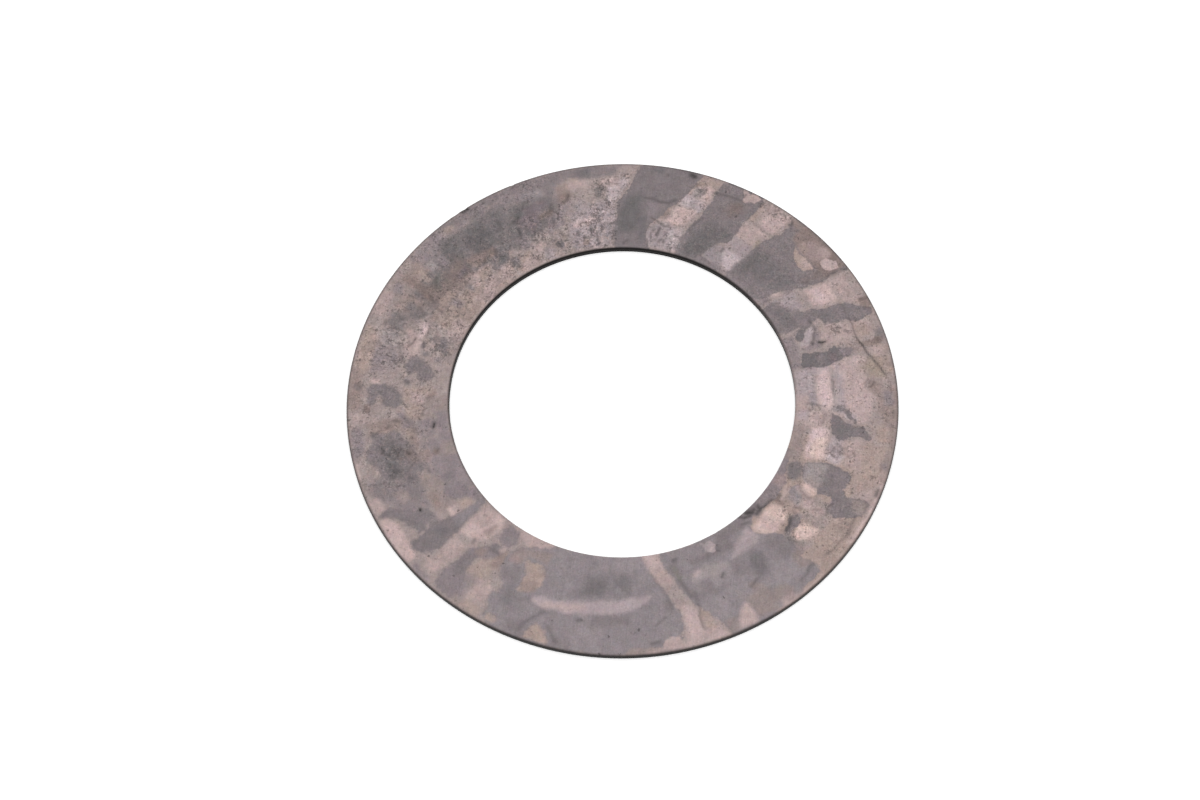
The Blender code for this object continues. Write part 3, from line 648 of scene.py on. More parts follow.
    ("wash", "frost", [(339, 7.8), (342.4, 7.6), (342.6, 10.3), (339.4, 10.3)]),
    ("wash", "lilac", [(342.2, 8), (347, 8), (347.6, 10.4), (342.2, 10.4)]),
    ("wash", "pink", [(349.4, 10.8), (355, 10.8), (355, 13.2), (349.2, 13.2)]),
    ("wash", "rose", [(349.8, 12.6), (354.4, 12.4), (354.2, 13.9), (350, 13.9)]),
    ("wash", "blush", [
        (354.8, 10.9), (357, 10.4), (360, 10.5), (364, 10.8), (368.2, 10.7), (367.8, 12), (364, 12.7),
        (360, 12.8), (356.4, 12.5), (355.2, 11.7)]),
    ("wash", "dusk", [(355.6, 13), (357.2, 12.9), (361, 13.2), (361, 14.6), (357, 14.5)]),
    ("wash", "fawn", [(336.6, 14.4), (338, 13.9), (349, 14.3), (350, 16.3), (336.4, 16.3)]),
    ("wash", "pink", [(349, 14), (356, 14.2), (360, 14.4), (360, 16.3), (349.4, 16.3)]),
    ("wash", "sheen", [(350.6, 14), (354.4, 14), (354.4, 16.2), (350.8, 16.2)]),
    ("wash", "mauve", [(356.4, 0.5), (360.6, 0.5), (360.6, 2.6), (356.8, 2.6)]),
    ("wash", "rose", [(352.4, 4.4), (360, 4.4), (361, 8.4), (355.6, 8.4)]),
    ("wash", "lilac", [(356.6, 8.4), (361.4, 8.6), (368.4, 8.8), (368.4, 9.8), (354.6, 9.8)]),
    ("wash", "ash", [(357, 9.8), (368, 9.8), (368, 10.5), (357, 10.5)]),
    # The small dark patch with its loop
    ("film", "mid film", [
        (347.6, 4.4), (348.2, 3.8), (349, 4.2), (349.8, 4.8), (351.2, 5), (350.9, 5.8), (351, 7),
        (351.6, 8.2), (352.6, 9), (353.8, 9.6), (354.2, 10.6), (352.4, 10.5), (350, 10.6), (348.4, 10.4),
        (347, 9.4), (346.1, 8.6), (347, 7.8), (347.8, 7), (348.2, 6)]),
    ("cloud", "film", [(346.8, 7.6), (351, 7.4), (352.6, 9.4), (350, 10.2), (347.4, 9.4)]),
    ("wash", "lilac", [(351.6, 6.4), (354.6, 6.6), (354.4, 8.6), (352, 8.6)]),
    ("wash", "dusk", [(353.8, 8.2), (357, 8.4), (357, 10.6), (354.4, 10.6)]),
    ("film", "mid film", [
        (351.6, 6), (352.8, 6.6), (353.6, 7.4), (354.6, 7.5), (355.6, 8), (356.2, 8.8), (356.6, 9.9),
        (355.6, 10), (354.8, 9.2), (355.2, 8.7), (354.4, 8.2), (353.2, 8.2), (352.4, 7.4), (351.6, 6.6)]),
)

# Small dark marks: (darkness, half width in mm, points it passes through), a lone point being a dot
MARKS = (
    # The long scratch at the right, and the thinner line that goes on from it
    (0.26, 0.17, [(0, 0.9), (3, 1.1), (4, 1.6), (6, 2.2)]),
    (0.68, 0.20, [(4.4, 1.7), (7, 2.6), (10, 3.6), (12, 4.1), (15, 4.6)]),
    (0.42, 0.18, [(15, 4.6), (20, 4.7)]),
    (0.12, 0.17, [(20, 4.6), (26, 4.7), (31, 4.4)]),
    (0.14, 0.22, [(48.4, 5.4), (52, 5.3), (56.6, 5.2)]),
    # 0 to 45 degrees
    (0.50, 0.24, [(1.3, 4.4), (1.8, 3.7), (2.6, 3.6)]),
    (0.40, 0.24, [(2.4, 4.4), (3, 4.2)]),
    (0.44, 0.24, [(1.6, 4.9), (2.6, 5), (3.4, 4.6)]),
    (0.25, 0.40, [(6.8, 0.8)]),
    (0.40, 0.20, [(0.2, 10.3), (3.4, 10.2), (4.6, 10.4)]),
    (0.95, 0.22, [(15.9, 9.9), (16.1, 10.8)]),
    (0.60, 0.24, [(15.5, 10.5), (16.1, 10.7)]),
    (0.70, 0.26, [(16.2, 11.9), (16.8, 12)]),
    (0.38, 0.24, [(16.8, 12), (18, 11.2), (20.5, 10.5), (22.6, 10.6), (23.6, 10.8)]),
    (0.50, 0.20, [(17, 5.8), (17.6, 6.2)]),
    (0.50, 0.20, [(17.4, 7.2), (18.2, 7.8)]),
    (0.50, 0.20, [(18.6, 6.6), (19.2, 7.4)]),
    (0.40, 0.24, [(23.5, 0.6), (23.8, 1.8)]),
    (0.30, 0.24, [(21.2, 0.6), (21.6, 1.6)]),
    (0.24, 0.28, [(25.6, 3), (26.8, 2.6), (28, 3.2)]),
    (0.36, 0.30, [(31.4, 0.3), (31.9, 2), (32.6, 3.8)]),
    (0.30, 0.30, [(33.6, 7), (34.6, 8)]),
    (0.40, 0.26, [(32.6, 13.2), (34, 14.6)]),
    (0.36, 0.24, [(35.4, 14.2), (36.2, 15)]),
    # 45 to 90 degrees
    (0.40, 0.24, [(47.6, 1.4), (48.4, 0.9)]),
    (0.36, 0.24, [(48.2, 2.3)]),
    (0.42, 0.22, [(57.6, 11.8), (57.9, 12.6)]),
    (0.50, 0.22, [(54.3, 1.5)]),
    (0.40, 0.22, [(47.6, 1.6), (48, 2)]),
    (0.55, 0.22, [(49, 1), (49.6, 1.3)]),
    (0.50, 0.22, [(50.6, 0.8)]),
    (0.55, 0.22, [(52.2, 0.6), (52.8, 1)]),
    (0.50, 0.22, [(55.8, 1), (56.2, 1.8)]),
    (0.50, 0.26, [(60.4, 1)]),
    (0.36, 0.22, [(60.2, 2.2), (63, 2.4), (66, 2.9)]),
    (0.50, 0.26, [(66, 2.8), (66.5, 2.9)]),
    (0.30, 0.24, [(67.2, 8.2), (68.4, 9.6), (69.4, 10.4), (69, 11.2)]),
    (0.60, 0.22, [(69, 2.6), (69.8, 2.9), (70.4, 3.6)]),
    (0.55, 0.22, [(69.3, 3.6), (69.8, 4.4)]),
    (0.50, 0.22, [(70.4, 4), (71, 4.6)]),
    (0.34, 0.24, [(71.4, 2.2), (71, 3.4)]),
    (0.50, 0.24, [(75.2, 11.2), (76.5, 11.3), (78, 10.9), (79.5, 10.4), (80.4, 10.2)]),
    (0.34, 0.22, [(75.8, 12.5), (75.2, 13.4), (75.6, 14.4)]),
    (0.55, 0.22, [(77.6, 11.9), (77.9, 12.8), (78.6, 13.4)]),
    (0.50, 0.22, [(76.6, 14), (77.2, 14.6)]),
    (0.44, 0.22, [(79.4, 12.6), (80.2, 13), (80, 14)]),
    (0.50, 0.20, [(72.6, 12.6)]),
    (0.44, 0.20, [(73.4, 14)]),
    (0.80, 0.42, [(72.6, 1), (73.4, 0.8)]),
    (0.45, 0.24, [(78.4, 1.5)]),
    (0.36, 0.26, [(75.5, 6), (77, 6.9), (79, 6.9), (81, 6.4), (83, 6.6)]),
    (0.36, 0.26, [(87.2, 14.8), (88.4, 15.2)]),
    # 90 to 135 degrees
    (0.50, 0.24, [(102, 4.9), (102.6, 5.8), (104.2, 6.3)]),
    (0.55, 0.30, [(116, 6.2), (116.8, 6.7), (117.4, 6.6)]),
    (0.48, 0.24, [(117.4, 8.4), (117.9, 9.2), (118.2, 10.2)]),
    (0.38, 0.34, [(106.8, 6), (107.3, 7)]),
    (0.34, 0.24, [(107.6, 8.9), (107.9, 9.8)]),
    (0.30, 0.24, [(120.4, 5.6), (121, 6.6), (122.4, 6.8)]),
    (0.36, 0.24, [(112.9, 4), (113.8, 5)]),
    (0.36, 0.26, [(121, 5), (121.4, 6.4)]),
    (0.90, 0.34, [(125, 0.25), (126.4, 0.45)]),
    (0.50, 0.24, [(113.4, 0.3), (114, 0.5)]),
    (0.42, 0.24, [(126, 9.4), (127.4, 11)]),
    (0.38, 0.24, [(130, 9.6), (131.4, 10.6)]),
    (0.34, 0.26, [(108.4, 13.6), (109.6, 13.8)]),
    (0.34, 0.26, [(105, 12.8), (107, 12.3)]),
    (0.30, 0.26, [(116.4, 14.8), (117.2, 15.2)]),
    # 135 to 180 degrees
    (0.42, 0.30, [(142.8, 6.2), (144.8, 7.3)]),
    (0.36, 0.26, [(147.6, 7.4), (149, 8.6)]),
    (0.36, 0.28, [(135.4, 9.2), (137, 9.8)]),
    (0.30, 0.28, [(147, 11.3)]),
    (0.30, 0.26, [(150.4, 10.4), (150.8, 11.2)]),
    (0.30, 0.36, [(155.8, 4.4), (156.6, 5.2)]),
    (0.46, 0.22, [(160.1, 4.2), (159.6, 5), (159.7, 5.8)]),
    (0.30, 0.24, [(158.4, 3), (159.6, 3.4)]),
    (0.52, 0.22, [(160.6, 8.9), (162.2, 8.7), (163.4, 8.3)]),
    (0.34, 0.20, [(164, 6.8), (165, 7.3), (166.2, 7.3)]),
    (0.46, 0.20, [(166.2, 7.4), (167.4, 7.8), (168.4, 7.9)]),
    (0.36, 0.26, [(152.2, 7), (153, 8.6), (154.6, 8)]),
    (0.26, 0.36, [(166.6, 1.2), (167, 2)]),
    (0.26, 0.36, [(175.2, 1.2), (175.6, 2)]),
    (0.30, 0.36, [(177, 14), (178.8, 12.8)]),
    (0.50, 0.24, [(161.4, 10.5), (162.6, 10.7)]),
    (0.34, 0.22, [(156.6, 10.4), (159, 10.6), (160.4, 11.2)]),
    (0.34, 0.24, [(173.2, 8.8), (174.2, 9.6)]),
    # 180 to 225 degrees
    (0.24, 0.40, [(184, 9), (186.5, 10), (189.5, 11)]),
    (0.60, 0.24, [(191.7, 4.9), (192.5, 5.1)]),
    (0.40, 0.22, [(192.6, 5), (193.2, 4.7)]),
    (0.50, 0.24, [(193.6, 5.3), (193.8, 6.2)]),
    (0.38, 0.24, [(192, 6.8), (193, 7), (194.2, 7.5), (195, 7.1)]),
    (0.34, 0.22, [(193, 7.8), (194, 8.2)]),
    (0.55, 0.26, [(194.6, 8.7), (195.2, 9.1)]),
    (0.34, 0.22, [(190.4, 8.4)]),
    (0.30, 0.22, [(190.6, 6.2), (191, 7)]),
    (0.36, 0.36, [(198.4, 6.1), (198.9, 6.5)]),
    (0.34, 0.26, [(199.2, 5.3), (199.8, 5.6)]),
    (0.34, 0.22, [(196, 5), (196.6, 5.5)]),
    (0.30, 0.24, [(201.2, 7.6), (202.4, 8.4)]),
    (0.34, 0.26, [(200.8, 10.8), (202, 11.2)]),
    (0.34, 0.26, [(184.4, 12), (182, 12.6)]),
    (0.30, 0.30, [(195.8, 13.6), (196.6, 13.4)]),
    (1.00, 0.24, [(187.6, 13.75), (188.8, 13.55)]),
    (1.00, 0.23, [(210.4, 7.05), (210.8, 6.9)]),
    (0.30, 0.26, [(188, 3.6), (187.4, 5.2)]),
    (0.30, 0.24, [(187, 6), (186.6, 6.6)]),
    (0.40, 0.30, [(185, 7.4), (185.4, 8.4)]),
    (0.40, 0.24, [(214.6, 15.3)]),
    (0.40, 0.24, [(217, 15.2)]),
    (0.34, 0.22, [(222.4, 14.4), (223, 14.5)]),
    (0.40, 0.22, [(224.4, 14.5)]),
    # 225 to 270 degrees
    (0.30, 0.30, [(226.2, 9.8), (226, 10.6)]),
    (0.20, 0.32, [(226.6, 12.4), (227.4, 14.4)]),
    (0.22, 0.36, [(231.4, 10.8), (233.4, 11)]),
    (0.24, 0.36, [(247.2, 1.6), (248.6, 3.8), (250.8, 5.4)]),
    (0.22, 0.30, [(252.6, 3.4), (254.4, 1.8), (255.4, 1)]),
    (0.50, 0.26, [(258.7, 5.2), (259.6, 5.4)]),
    (0.20, 0.24, [(246.8, 10.8), (247.4, 12)]),
    # 270 to 315 degrees
    (0.36, 0.34, [(275, 1.9), (276.8, 2)]),
    (0.30, 0.20, [(276.3, 4.6), (279, 5.8)]),
    (0.34, 0.22, [(286.4, 3), (286.8, 5), (287.2, 6.6)]),
    (0.16, 0.30, [(281, 7.2), (279.6, 10), (278.4, 12)]),
    (0.22, 0.30, [(286.2, 8), (284.6, 11)]),
    (0.45, 0.32, [(284.4, 14.6), (285.2, 14.6)]),
    (0.50, 0.22, [(295.6, 9.4), (296.4, 9.9)]),
    (0.50, 0.22, [(298.4, 13.6)]),
    (0.50, 0.22, [(298.9, 14.5)]),
    (0.30, 0.28, [(300.2, 5.8), (302.4, 6.4)]),
    (0.34, 0.28, [(310, 2.1), (312.4, 2.4), (314.5, 2.8)]),
    (0.60, 0.26, [(310, 16.2), (310.8, 15.6), (312.6, 15.3)]),
    (0.60, 0.34, [(312.4, 16), (314, 15.5), (315.2, 15.7)]),
    (0.60, 0.30, [(314.6, 14.9), (316.8, 14.9), (317.2, 15.6)]),
    (0.30, 0.24, [(308.8, 15), (311, 14.7)]),
    # 315 to 360 degrees
    (0.54, 0.24, [(317.4, 14.9), (319.4, 14.7), (321.4, 14.5)]),
    (0.40, 0.22, [(321.4, 14.4), (322.4, 13.8), (324, 14.2)]),
    (0.40, 0.24, [(316, 7), (315.4, 8.4)]),
    (0.34, 0.26, [(323.2, 11), (324.2, 10)]),
    (0.30, 0.24, [(325.6, 8.2), (326.4, 7.2)]),
    (0.32, 0.22, [(318, 2.4), (321, 1.9), (325, 1.8), (329, 2.1)]),
    (0.55, 0.34, [(316.6, 9.6), (318.6, 9.9), (320, 10.3)]),
    (0.40, 0.26, [(323.2, 8.5)]),
    (0.36, 0.26, [(324, 10)]),
    (0.30, 0.28, [(326.2, 6), (327.6, 6.4)]),
    (0.26, 0.28, [(327.6, 9.8), (328.8, 11.6), (330.8, 12.5)]),
    (0.55, 0.28, [(335.2, 0.7), (336.4, 0.8)]),
    (0.34, 0.24, [(341, 1.4), (341.8, 1.5)]),
    (0.36, 0.24, [(336.2, 8.1)]),
    (0.48, 0.22, [(342.9, 8), (343.1, 8.5)]),
    (0.44, 0.22, [(343.6, 9.3), (344.1, 9.1)]),
    (0.44, 0.20, [(344.3, 8.1)]),
    (0.40, 0.20, [(345.1, 8.8)]),
    (0.34, 0.20, [(342.3, 6.9)]),
    (0.34, 0.20, [(343.4, 6.1), (344.2, 6.4)]),
    (0.30, 0.20, [(345.2, 6.8)]),
    (0.30, 0.20, [(341.8, 8.8)]),
    (0.30, 0.26, [(351, 11.9), (353.6, 11.6)]),
    (0.50, 0.22, [(340.8, 14.1)]),
    (0.50, 0.22, [(353.5, 13.2)]),
    (0.50, 0.22, [(354.3, 14)]),
    (0.34, 0.34, [(356.4, 13), (356.8, 14.4)]),
    (0.36, 0.34, [(355.2, 0.8)]),
    (0.30, 0.24, [(350.6, 5.2), (351.8, 7), (353, 9)]),
)

# Painted highlights, small pale strokes where the steel catches the light:
# (strength, half width in mm, points it passes through)
GLINTS = (
    (0.60, 0.26, [(22.2, 9.1), (22.8, 9.5)]),
    (0.35, 0.22, [(22.4, 12.6), (21.8, 14.6)]),
    (0.40, 0.24, [(26.6, 5.4), (31, 5.2)]),
    (0.35, 0.24, [(35.2, 12.4), (36.4, 13.4)]),
    (0.45, 0.28, [(50.4, 6), (53, 6)]),
    (0.45, 0.24, [(70.4, 7.6), (74.4, 7.4)]),
    (0.30, 0.26, [(79.2, 10.4), (80.4, 10.3)]),
    (0.50, 0.26, [(91.4, 2.9), (93.6, 3.3)]),
    (0.50, 0.28, [(97.6, 10.2), (99.4, 10.9), (102, 10.8)]),
    (0.35, 0.26, [(94, 12.8), (95.6, 15)]),
    (0.35, 0.26, [(119, 14), (121.6, 14.8)]),
    (0.40, 0.24, [(161.4, 9.8), (164.8, 9.4)]),
    (0.40, 0.24, [(157, 9.8), (158.4, 10.4)]),
    (0.50, 0.28, [(194.6, 0.6), (197, 0.6)]),
    (0.40, 0.28, [(214.4, 10.8), (216.4, 11)]),
    (0.30, 0.24, [(233.6, 11.7), (234.3, 12)]),
    (0.30, 0.30, [(247.6, 6.8), (250.4, 6.2), (252.6, 6.8)]),
    (0.45, 0.28, [(289, 11.1), (290.4, 11.6)]),
    (0.35, 0.26, [(296.6, 14.2), (297.8, 14.6)]),
    (0.40, 0.24, [(302, 0.3), (308, 0.3), (314, 0.4)]),
    (0.50, 0.26, [(310.6, 13), (312.6, 11.4), (313.6, 11)]),
    (0.40, 0.24, [(323.6, 13.6), (327.4, 13.9)]),
    (0.40, 0.24, [(325.6, 0.5), (332, 0.4)]),
    (0.45, 0.26, [(340, 10.8), (345, 10.8), (348.6, 11)]),
    (0.50, 0.24, [(352.2, 7), (352.6, 8.4), (353.8, 9.2), (354.4, 10.6)]),
    (0.45, 0.26, [(348.6, 13.4), (352, 13.7), (353.8, 13.6)]),
    (0.45, 0.26, [(355.6, 11), (358, 11), (362, 11), (366, 10.9)]),
)

# Places thick with small dark specks: (how thick, 0 to 1, outline)
SPECKLED = (
    (0.45, [(16.6, 6.6), (20.4, 6.4), (20.8, 8.8), (17, 9)]),
    (0.25, [(23, 1.6), (30.5, 1.2), (31, 4), (24.6, 4.2)]),
    (0.25, [(31, 13.4), (38, 13.6), (40, 16.3), (32.6, 16.3)]),
    (0.50, [(47.2, 0.2), (57, 0.2), (57, 2.2), (48, 2.4)]),
    (0.15, [(50, 2), (57, 2), (58, 12), (51, 12)]),
    (0.35, [(66, 1), (72, 1), (74, 5.5), (79, 10), (76, 11.4), (69.6, 10), (67, 6)]),
    (0.38, [(69.4, 10.6), (79, 10.4), (81.6, 11.4), (81.6, 14), (80, 16), (71.4, 16)]),
    (0.45, [(85.6, 1), (92, 2.6), (96, 2.6), (97, 7.4), (89, 7.4)]),
    (0.80, [(89.2, 7.2), (97, 6.6), (98, 9.8), (104, 10.6), (106, 16), (91, 16), (90.6, 10)]),
    (0.28, [(96, 4), (104, 5), (105.4, 8.6), (97, 8.6)]),
    (0.50, [(97, 8.8), (105.4, 8.8), (106, 11), (97, 11)]),
    (0.50, [(104, 6), (118, 7), (126, 9), (128, 16), (104, 16)]),
    (0.30, [(104, 0.2), (140, 0.2), (160, 0.2), (165, 6), (160, 10), (128, 10), (116, 7)]),
    (0.42, [(122, 9), (160, 9), (168, 14), (160, 16.3), (122, 16.3)]),
    (0.45, [(158, 2), (170, 2), (170, 8.6), (160, 8.6)]),
    (0.30, [(158, 0.2), (204, 0.2), (204, 10), (186, 14), (168, 15)]),
    (0.40, [(190, 4), (197, 4), (197, 9), (191, 8)]),
    (0.25, [(-8, 0.2), (72, 0.2), (82, 16.3), (-8, 16.3)]),
    (0.30, [(315, 4.6), (330, 4.8), (330, 16), (315, 16)]),
    (0.45, [(340.6, 5.6), (345.4, 5.6), (345.4, 10), (341, 10)]),
    (0.25, [(314, 0.5), (354, 0.5), (354, 15), (330, 15), (320, 5)]),
)

# Places rubbed smooth, where the steel shines a little more: (how much, 0 to 1, outline)
RUBBED = (
    (1.0, [(-20.4, 10.4), (-11, 10.8), (-10.6, 13.2), (-21.4, 13.6), (-20.6, 12)]),
)


def linear(tone):
    """A tone's linear light, from its place on the display's curve."""
    value = np.array(tone) / 255.0
    return np.where(value <= 0.04045, value / 12.92, ((value + 0.055) / 1.055) ** 2.4)


def ease(low, high, value):
    """0 below `low`, 1 above `high`, and a smooth S between them: t squared times (3 less 2 t)."""
    t = np.clip((value - low) / (high - low), 0.0, 1.0)
    return t * t * (3.0 - 2.0 * t)


def noise(x, y, cell, seed):
    """Smooth noise from -1 to 1: seeded random values on a square lattice `cell` mm wide, eased between."""
    lattice_size = 256
    offset = 100.5  # keeps the lattice's lines off the bore's axis
    lattice = np.random.default_rng(seed).uniform(-1.0, 1.0, (lattice_size, lattice_size))
    u = x / cell + offset
    v = y / cell + offset
    i = np.floor(u).astype(int)
    j = np.floor(v).astype(int)
    a = ease(0.0, 1.0, u - i)
    b = ease(0.0, 1.0, v - j)
    i0, i1, j0, j1 = (place % lattice_size for place in (i, i + 1, j, j + 1))
    near = lattice[i0, j0] * (1.0 - a) + lattice[i1, j0] * a
    far = lattice[i0, j1] * (1.0 - a) + lattice[i1, j1] * a
    return near * (1.0 - b) + far * b


def rough_noise(x, y, cell, seed, octaves=3):
    """Noise summed over octaves, each with half the cell and half the height of the one before."""
    total = np.zeros_like(x)
    for octave in range(octaves):
        total += 0.5 ** octave * noise(x, y, cell * 0.5 ** octave, seed + octave)
    return total / (2.0 - 0.5 ** (octaves - 1))


def ring_radii():
    """Rim radius, bore radius and thickness of the frame's washer, in mm, read from its points."""
    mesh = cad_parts[WASHER].data
    place = np.empty(len(mesh.vertices) * 3)
    mesh.vertices.foreach_get("co", place)
    x, y, z = place.reshape(-1, 3).T / MM
    return x.max(), np.hypot(x, y).min(), z.max()


RIM, BORE, THICK = ring_radii()
LAND_FOOT = THICK - ROLL_DEPTH - LAND_HEIGHT


def drawn(points, closed):
    """An outline or a stroke, given in degrees and mm in from the rim, as rows of x and y in mm.

    A side is cut into steps of 2 degrees or less, so that it bends with the ring. Then each corner of an
    outline is cut off between a quarter and three quarters of its two sides, which rounds it.
    """
    corners = np.array(points, float)
    if len(corners) == 1:
        starts, ends = corners, corners
    else:
        starts = corners if closed else corners[:-1]
        ends = np.roll(corners, -1, axis=0) if closed else corners[1:]
    stretches = []
    for start, end in zip(starts, ends):
        steps = max(1, int(np.ceil(abs(end[0] - start[0]) / 2.0)))
        stretches.append(start + (end - start) * np.arange(steps)[:, None] / steps)
    if not closed:
        stretches.append(ends[-1:])
    turn, inward = np.concatenate(stretches).T
    reach = RIM - inward
    path = np.stack([reach * np.cos(np.radians(turn)), reach * np.sin(np.radians(turn))], -1)
    if not closed:
        return path
    after = np.roll(path, -1, axis=0)
    return np.stack([0.75 * path + 0.25 * after, 0.25 * path + 0.75 * after], 1).reshape(-1, 2)


def nearby(shape, x, y, reach):
    """The numbers of the points that lie within `reach` of the box round a shape."""
    low = shape.min(0) - reach
    high = shape.max(0) + reach
    return np.flatnonzero((x > low[0]) & (x < high[0]) & (y > low[1]) & (y < high[1]))


def to_side(x, y, start, end):
    """Distance from points to the straight side from start to end: to its nearest point, ends included."""
    side = end - start
    share = ((x - start[0]) * side[0] + (y - start[1]) * side[1]) / max(side @ side, 1e-9)
    share = np.clip(share, 0.0, 1.0)
    return np.hypot(x - start[0] - share * side[0], y - start[1] - share * side[1])


def depth_in(outline, x, y):
    """How deep inside a closed outline each point lies, in mm: negative outside, and never past REACH."""
    shape = drawn(outline, True)
    near = nearby(shape, x, y, REACH)
    px, py = x[near], y[near]
    nearest = np.full(len(near), REACH)
    within = np.zeros(len(near), bool)
    for start, end in zip(shape, np.roll(shape, -1, axis=0)):
        nearest = np.minimum(nearest, to_side(px, py, start, end))
        rise = end[1] - start[1]
        if rise:
            crosses = (start[1] > py) != (end[1] > py)
            within ^= crosses & (px < start[0] + (end[0] - start[0]) * (py - start[1]) / rise)
    depth = np.full(x.shape, -REACH)
    depth[near] = np.where(within, nearest, -nearest)
    return depth


def along(stroke, x, y, half_width):
    """A soft line along a stroke: e to the minus (distance over half width) squared."""
    shape = drawn(stroke, False)
    reach = 3.0 * half_width
    near = nearby(shape, x, y, reach)
    nearest = np.full(len(near), reach)
    for start, end in zip(shape[:-1], shape[1:]):
        nearest = np.minimum(nearest, to_side(x[near], y[near], start, end))
    line = np.zeros(x.shape)
    line[near] = np.exp(-(nearest / half_width) ** 2)
    return line


def strongest_stroke(strokes, x, y):
    """At each point, the strongest of some soft lines."""
    strongest = np.zeros(x.shape)
    for strength, half_width, stroke in strokes:
        strongest = np.maximum(strongest, strength * along(stroke, x, y, half_width))
    return strongest


def strongest_zone(zones, x, y, low, high):
    """At each point, the strongest of some zones. A zone fades in between two depths inside its outline."""
    strongest = np.zeros(x.shape)
    for strength, outline in zones:
        strongest = np.maximum(strongest, strength * ease(low, high, depth_in(outline, x, y)))
    return strongest


def edge_dirt_and_shade(x, y):
    """How dark both edges are painted, fading inwards: painted shade, with a seam of dirt along the rim.

    Along the bore the painted shade is darkest at the far side and almost gone at the near side, by the
    cosine of the angle from BORE_GRIME_SIDE. Along the rim an even seam grows darker towards the near side,
    as painted shade.
    """
    reach = np.hypot(x, y)
    turn = np.arctan2(y, x)
    at_bore = ease(-0.85, 0.75, np.cos(turn - BORE_GRIME_SIDE)) * ease(0.34, 0.14, reach - BORE)
    at_rim = (0.66 + 0.18 * ease(-1.0, 1.0, -np.sin(turn))) * ease(0.40, 0.0, RIM - reach)
    return np.maximum(at_bore, at_rim)


def lay(tones, cover, colour):
    """Lays a colour over an array of tones, as far as the cover from 0 to 1 says."""
    tones += cover[:, None] * (colour - tones)


def upper_stain(x, y):
    """The upper face's fields at points x, y in mm, painted patch by patch in the order of the list.

    The points are first moved by rough noise, which makes every outline ragged. "film" is the depth into film
    in mm, negative on bare steel. Each kind of surface has a tone of its own everywhere, so a border stays
    crisp however the tones beside it blend.
    """
    wx = x + RAGGED_BY * rough_noise(x, y, RAGGED_CELL, 11)
    wy = y + RAGGED_BY * rough_noise(x, y, RAGGED_CELL, 21)
    cloudy = CLOUDY_BY * rough_noise(x, y, CLOUDY_CELL, 31, 4)
    film = np.full(x.shape, -REACH)
    film_tone = np.tile(linear(TONES[FILM_GROUND]), (len(x), 1))
    bare_tone = np.tile(linear(TONES[BARE_GROUND]), (len(x), 1))
    for kind, tone, outline in STAINS:
        depth = depth_in(outline, wx, wy)
        colour = linear(TONES[tone])
        if kind == "film":
            film = np.maximum(film, depth)
            lay(film_tone, ease(-0.5, 0.1, depth), colour)
        elif kind == "bare":
            film = np.minimum(film, -depth)
            lay(bare_tone, ease(-0.5, 0.1, depth), colour)
        else:
            in_reach = depth > 0.01 - REACH
            if kind == "wash":
                cover = 0.9 * ease(-0.4, 0.6, depth + 0.3 * cloudy) * in_reach
            else:
                cover = 0.85 * ease(-0.9, 1.1, depth + cloudy) * in_reach
            lay(film_tone, cover, colour)
            lay(bare_tone, cover, colour)
    soft = ease(-0.3, 0.6, np.cos(np.arctan2(y, x) - SOFT_SIDE))
    return {
        "film": film,
        "film_tone": film_tone,
        "bare_tone": bare_tone,
        "mark": strongest_stroke(MARKS, wx, wy),
        "glint": strongest_stroke(GLINTS, wx, wy),
        "speckled": strongest_zone(SPECKLED, wx, wy, -0.6, 0.6),
        "rubbed": strongest_zone(RUBBED, wx, wy, -0.3, 0.5),
        # Painted shade along both edges, over a seam of dirt along the rim
        "dirt_and_shade": edge_dirt_and_shade(x, y),
        "softness": 0.16 + 0.27 * soft,
    }


def lower_stain(x, y):
    """The lower face's fields, guessed because it is hidden: film wherever slow noise is above -0.1."""
    swell = rough_noise(x, y, 9.0, 61, 4)
    warm = (0.5 + 0.5 * rough_noise(x, y, 5.0, 71))[:, None]
    deep = (0.5 + 0.5 * rough_noise(x, y, 4.0, 81))[:, None]
    to_edge = np.minimum(np.hypot(x, y) - BORE, RIM - np.hypot(x, y))
    return {
        "film": np.clip(5.0 * (swell + 0.1), -REACH, REACH),
        "film_tone": linear(TONES["mid film"]) * deep + linear(TONES["slate"]) * (1.0 - deep),
        "bare_tone": linear(TONES["pink"]) * warm + linear(TONES["tan"]) * (1.0 - warm),
        "mark": np.zeros(x.shape),
        "glint": np.zeros(x.shape),
        "speckled": 0.25 * ease(0.1, 0.7, rough_noise(x, y, 3.0, 91)),
        "rubbed": np.zeros(x.shape),
        "dirt_and_shade": 0.5 * ease(0.5, 0.0, to_edge),
        "softness": np.full(x.shape, 0.2),
    }


def sheared_edge():
    """The edge from the upper face to the lower, as x and z in mm: x is 0 at the land, negative in the metal.

    A quarter ellipse for the roll, the land's foot straight below it, then the burr's round, which starts
    where its tangent leans as the break does and ends level with the lower face.
    """
    a = np.linspace(0.0, 0.5 * pi, ROWS_ROLL + 1)
    roll = np.stack([ROLL_WIDTH * (np.sin(a) - 1.0), THICK + ROLL_DEPTH * (np.cos(a) - 1.0)], -1)
    b = np.linspace(0.5 * pi - BREAK_ANGLE, 0.0, ROWS_BURR + 1)
    burr = np.stack([BURR_RADIUS * np.sin(b), BURR_RADIUS * (1.0 - np.cos(b))], -1)
    burr[:, 0] -= burr[0, 0] + (LAND_FOOT - burr[0, 1]) * tan(BREAK_ANGLE)
    return np.concatenate([roll, [[0.0, LAND_FOOT]], burr])


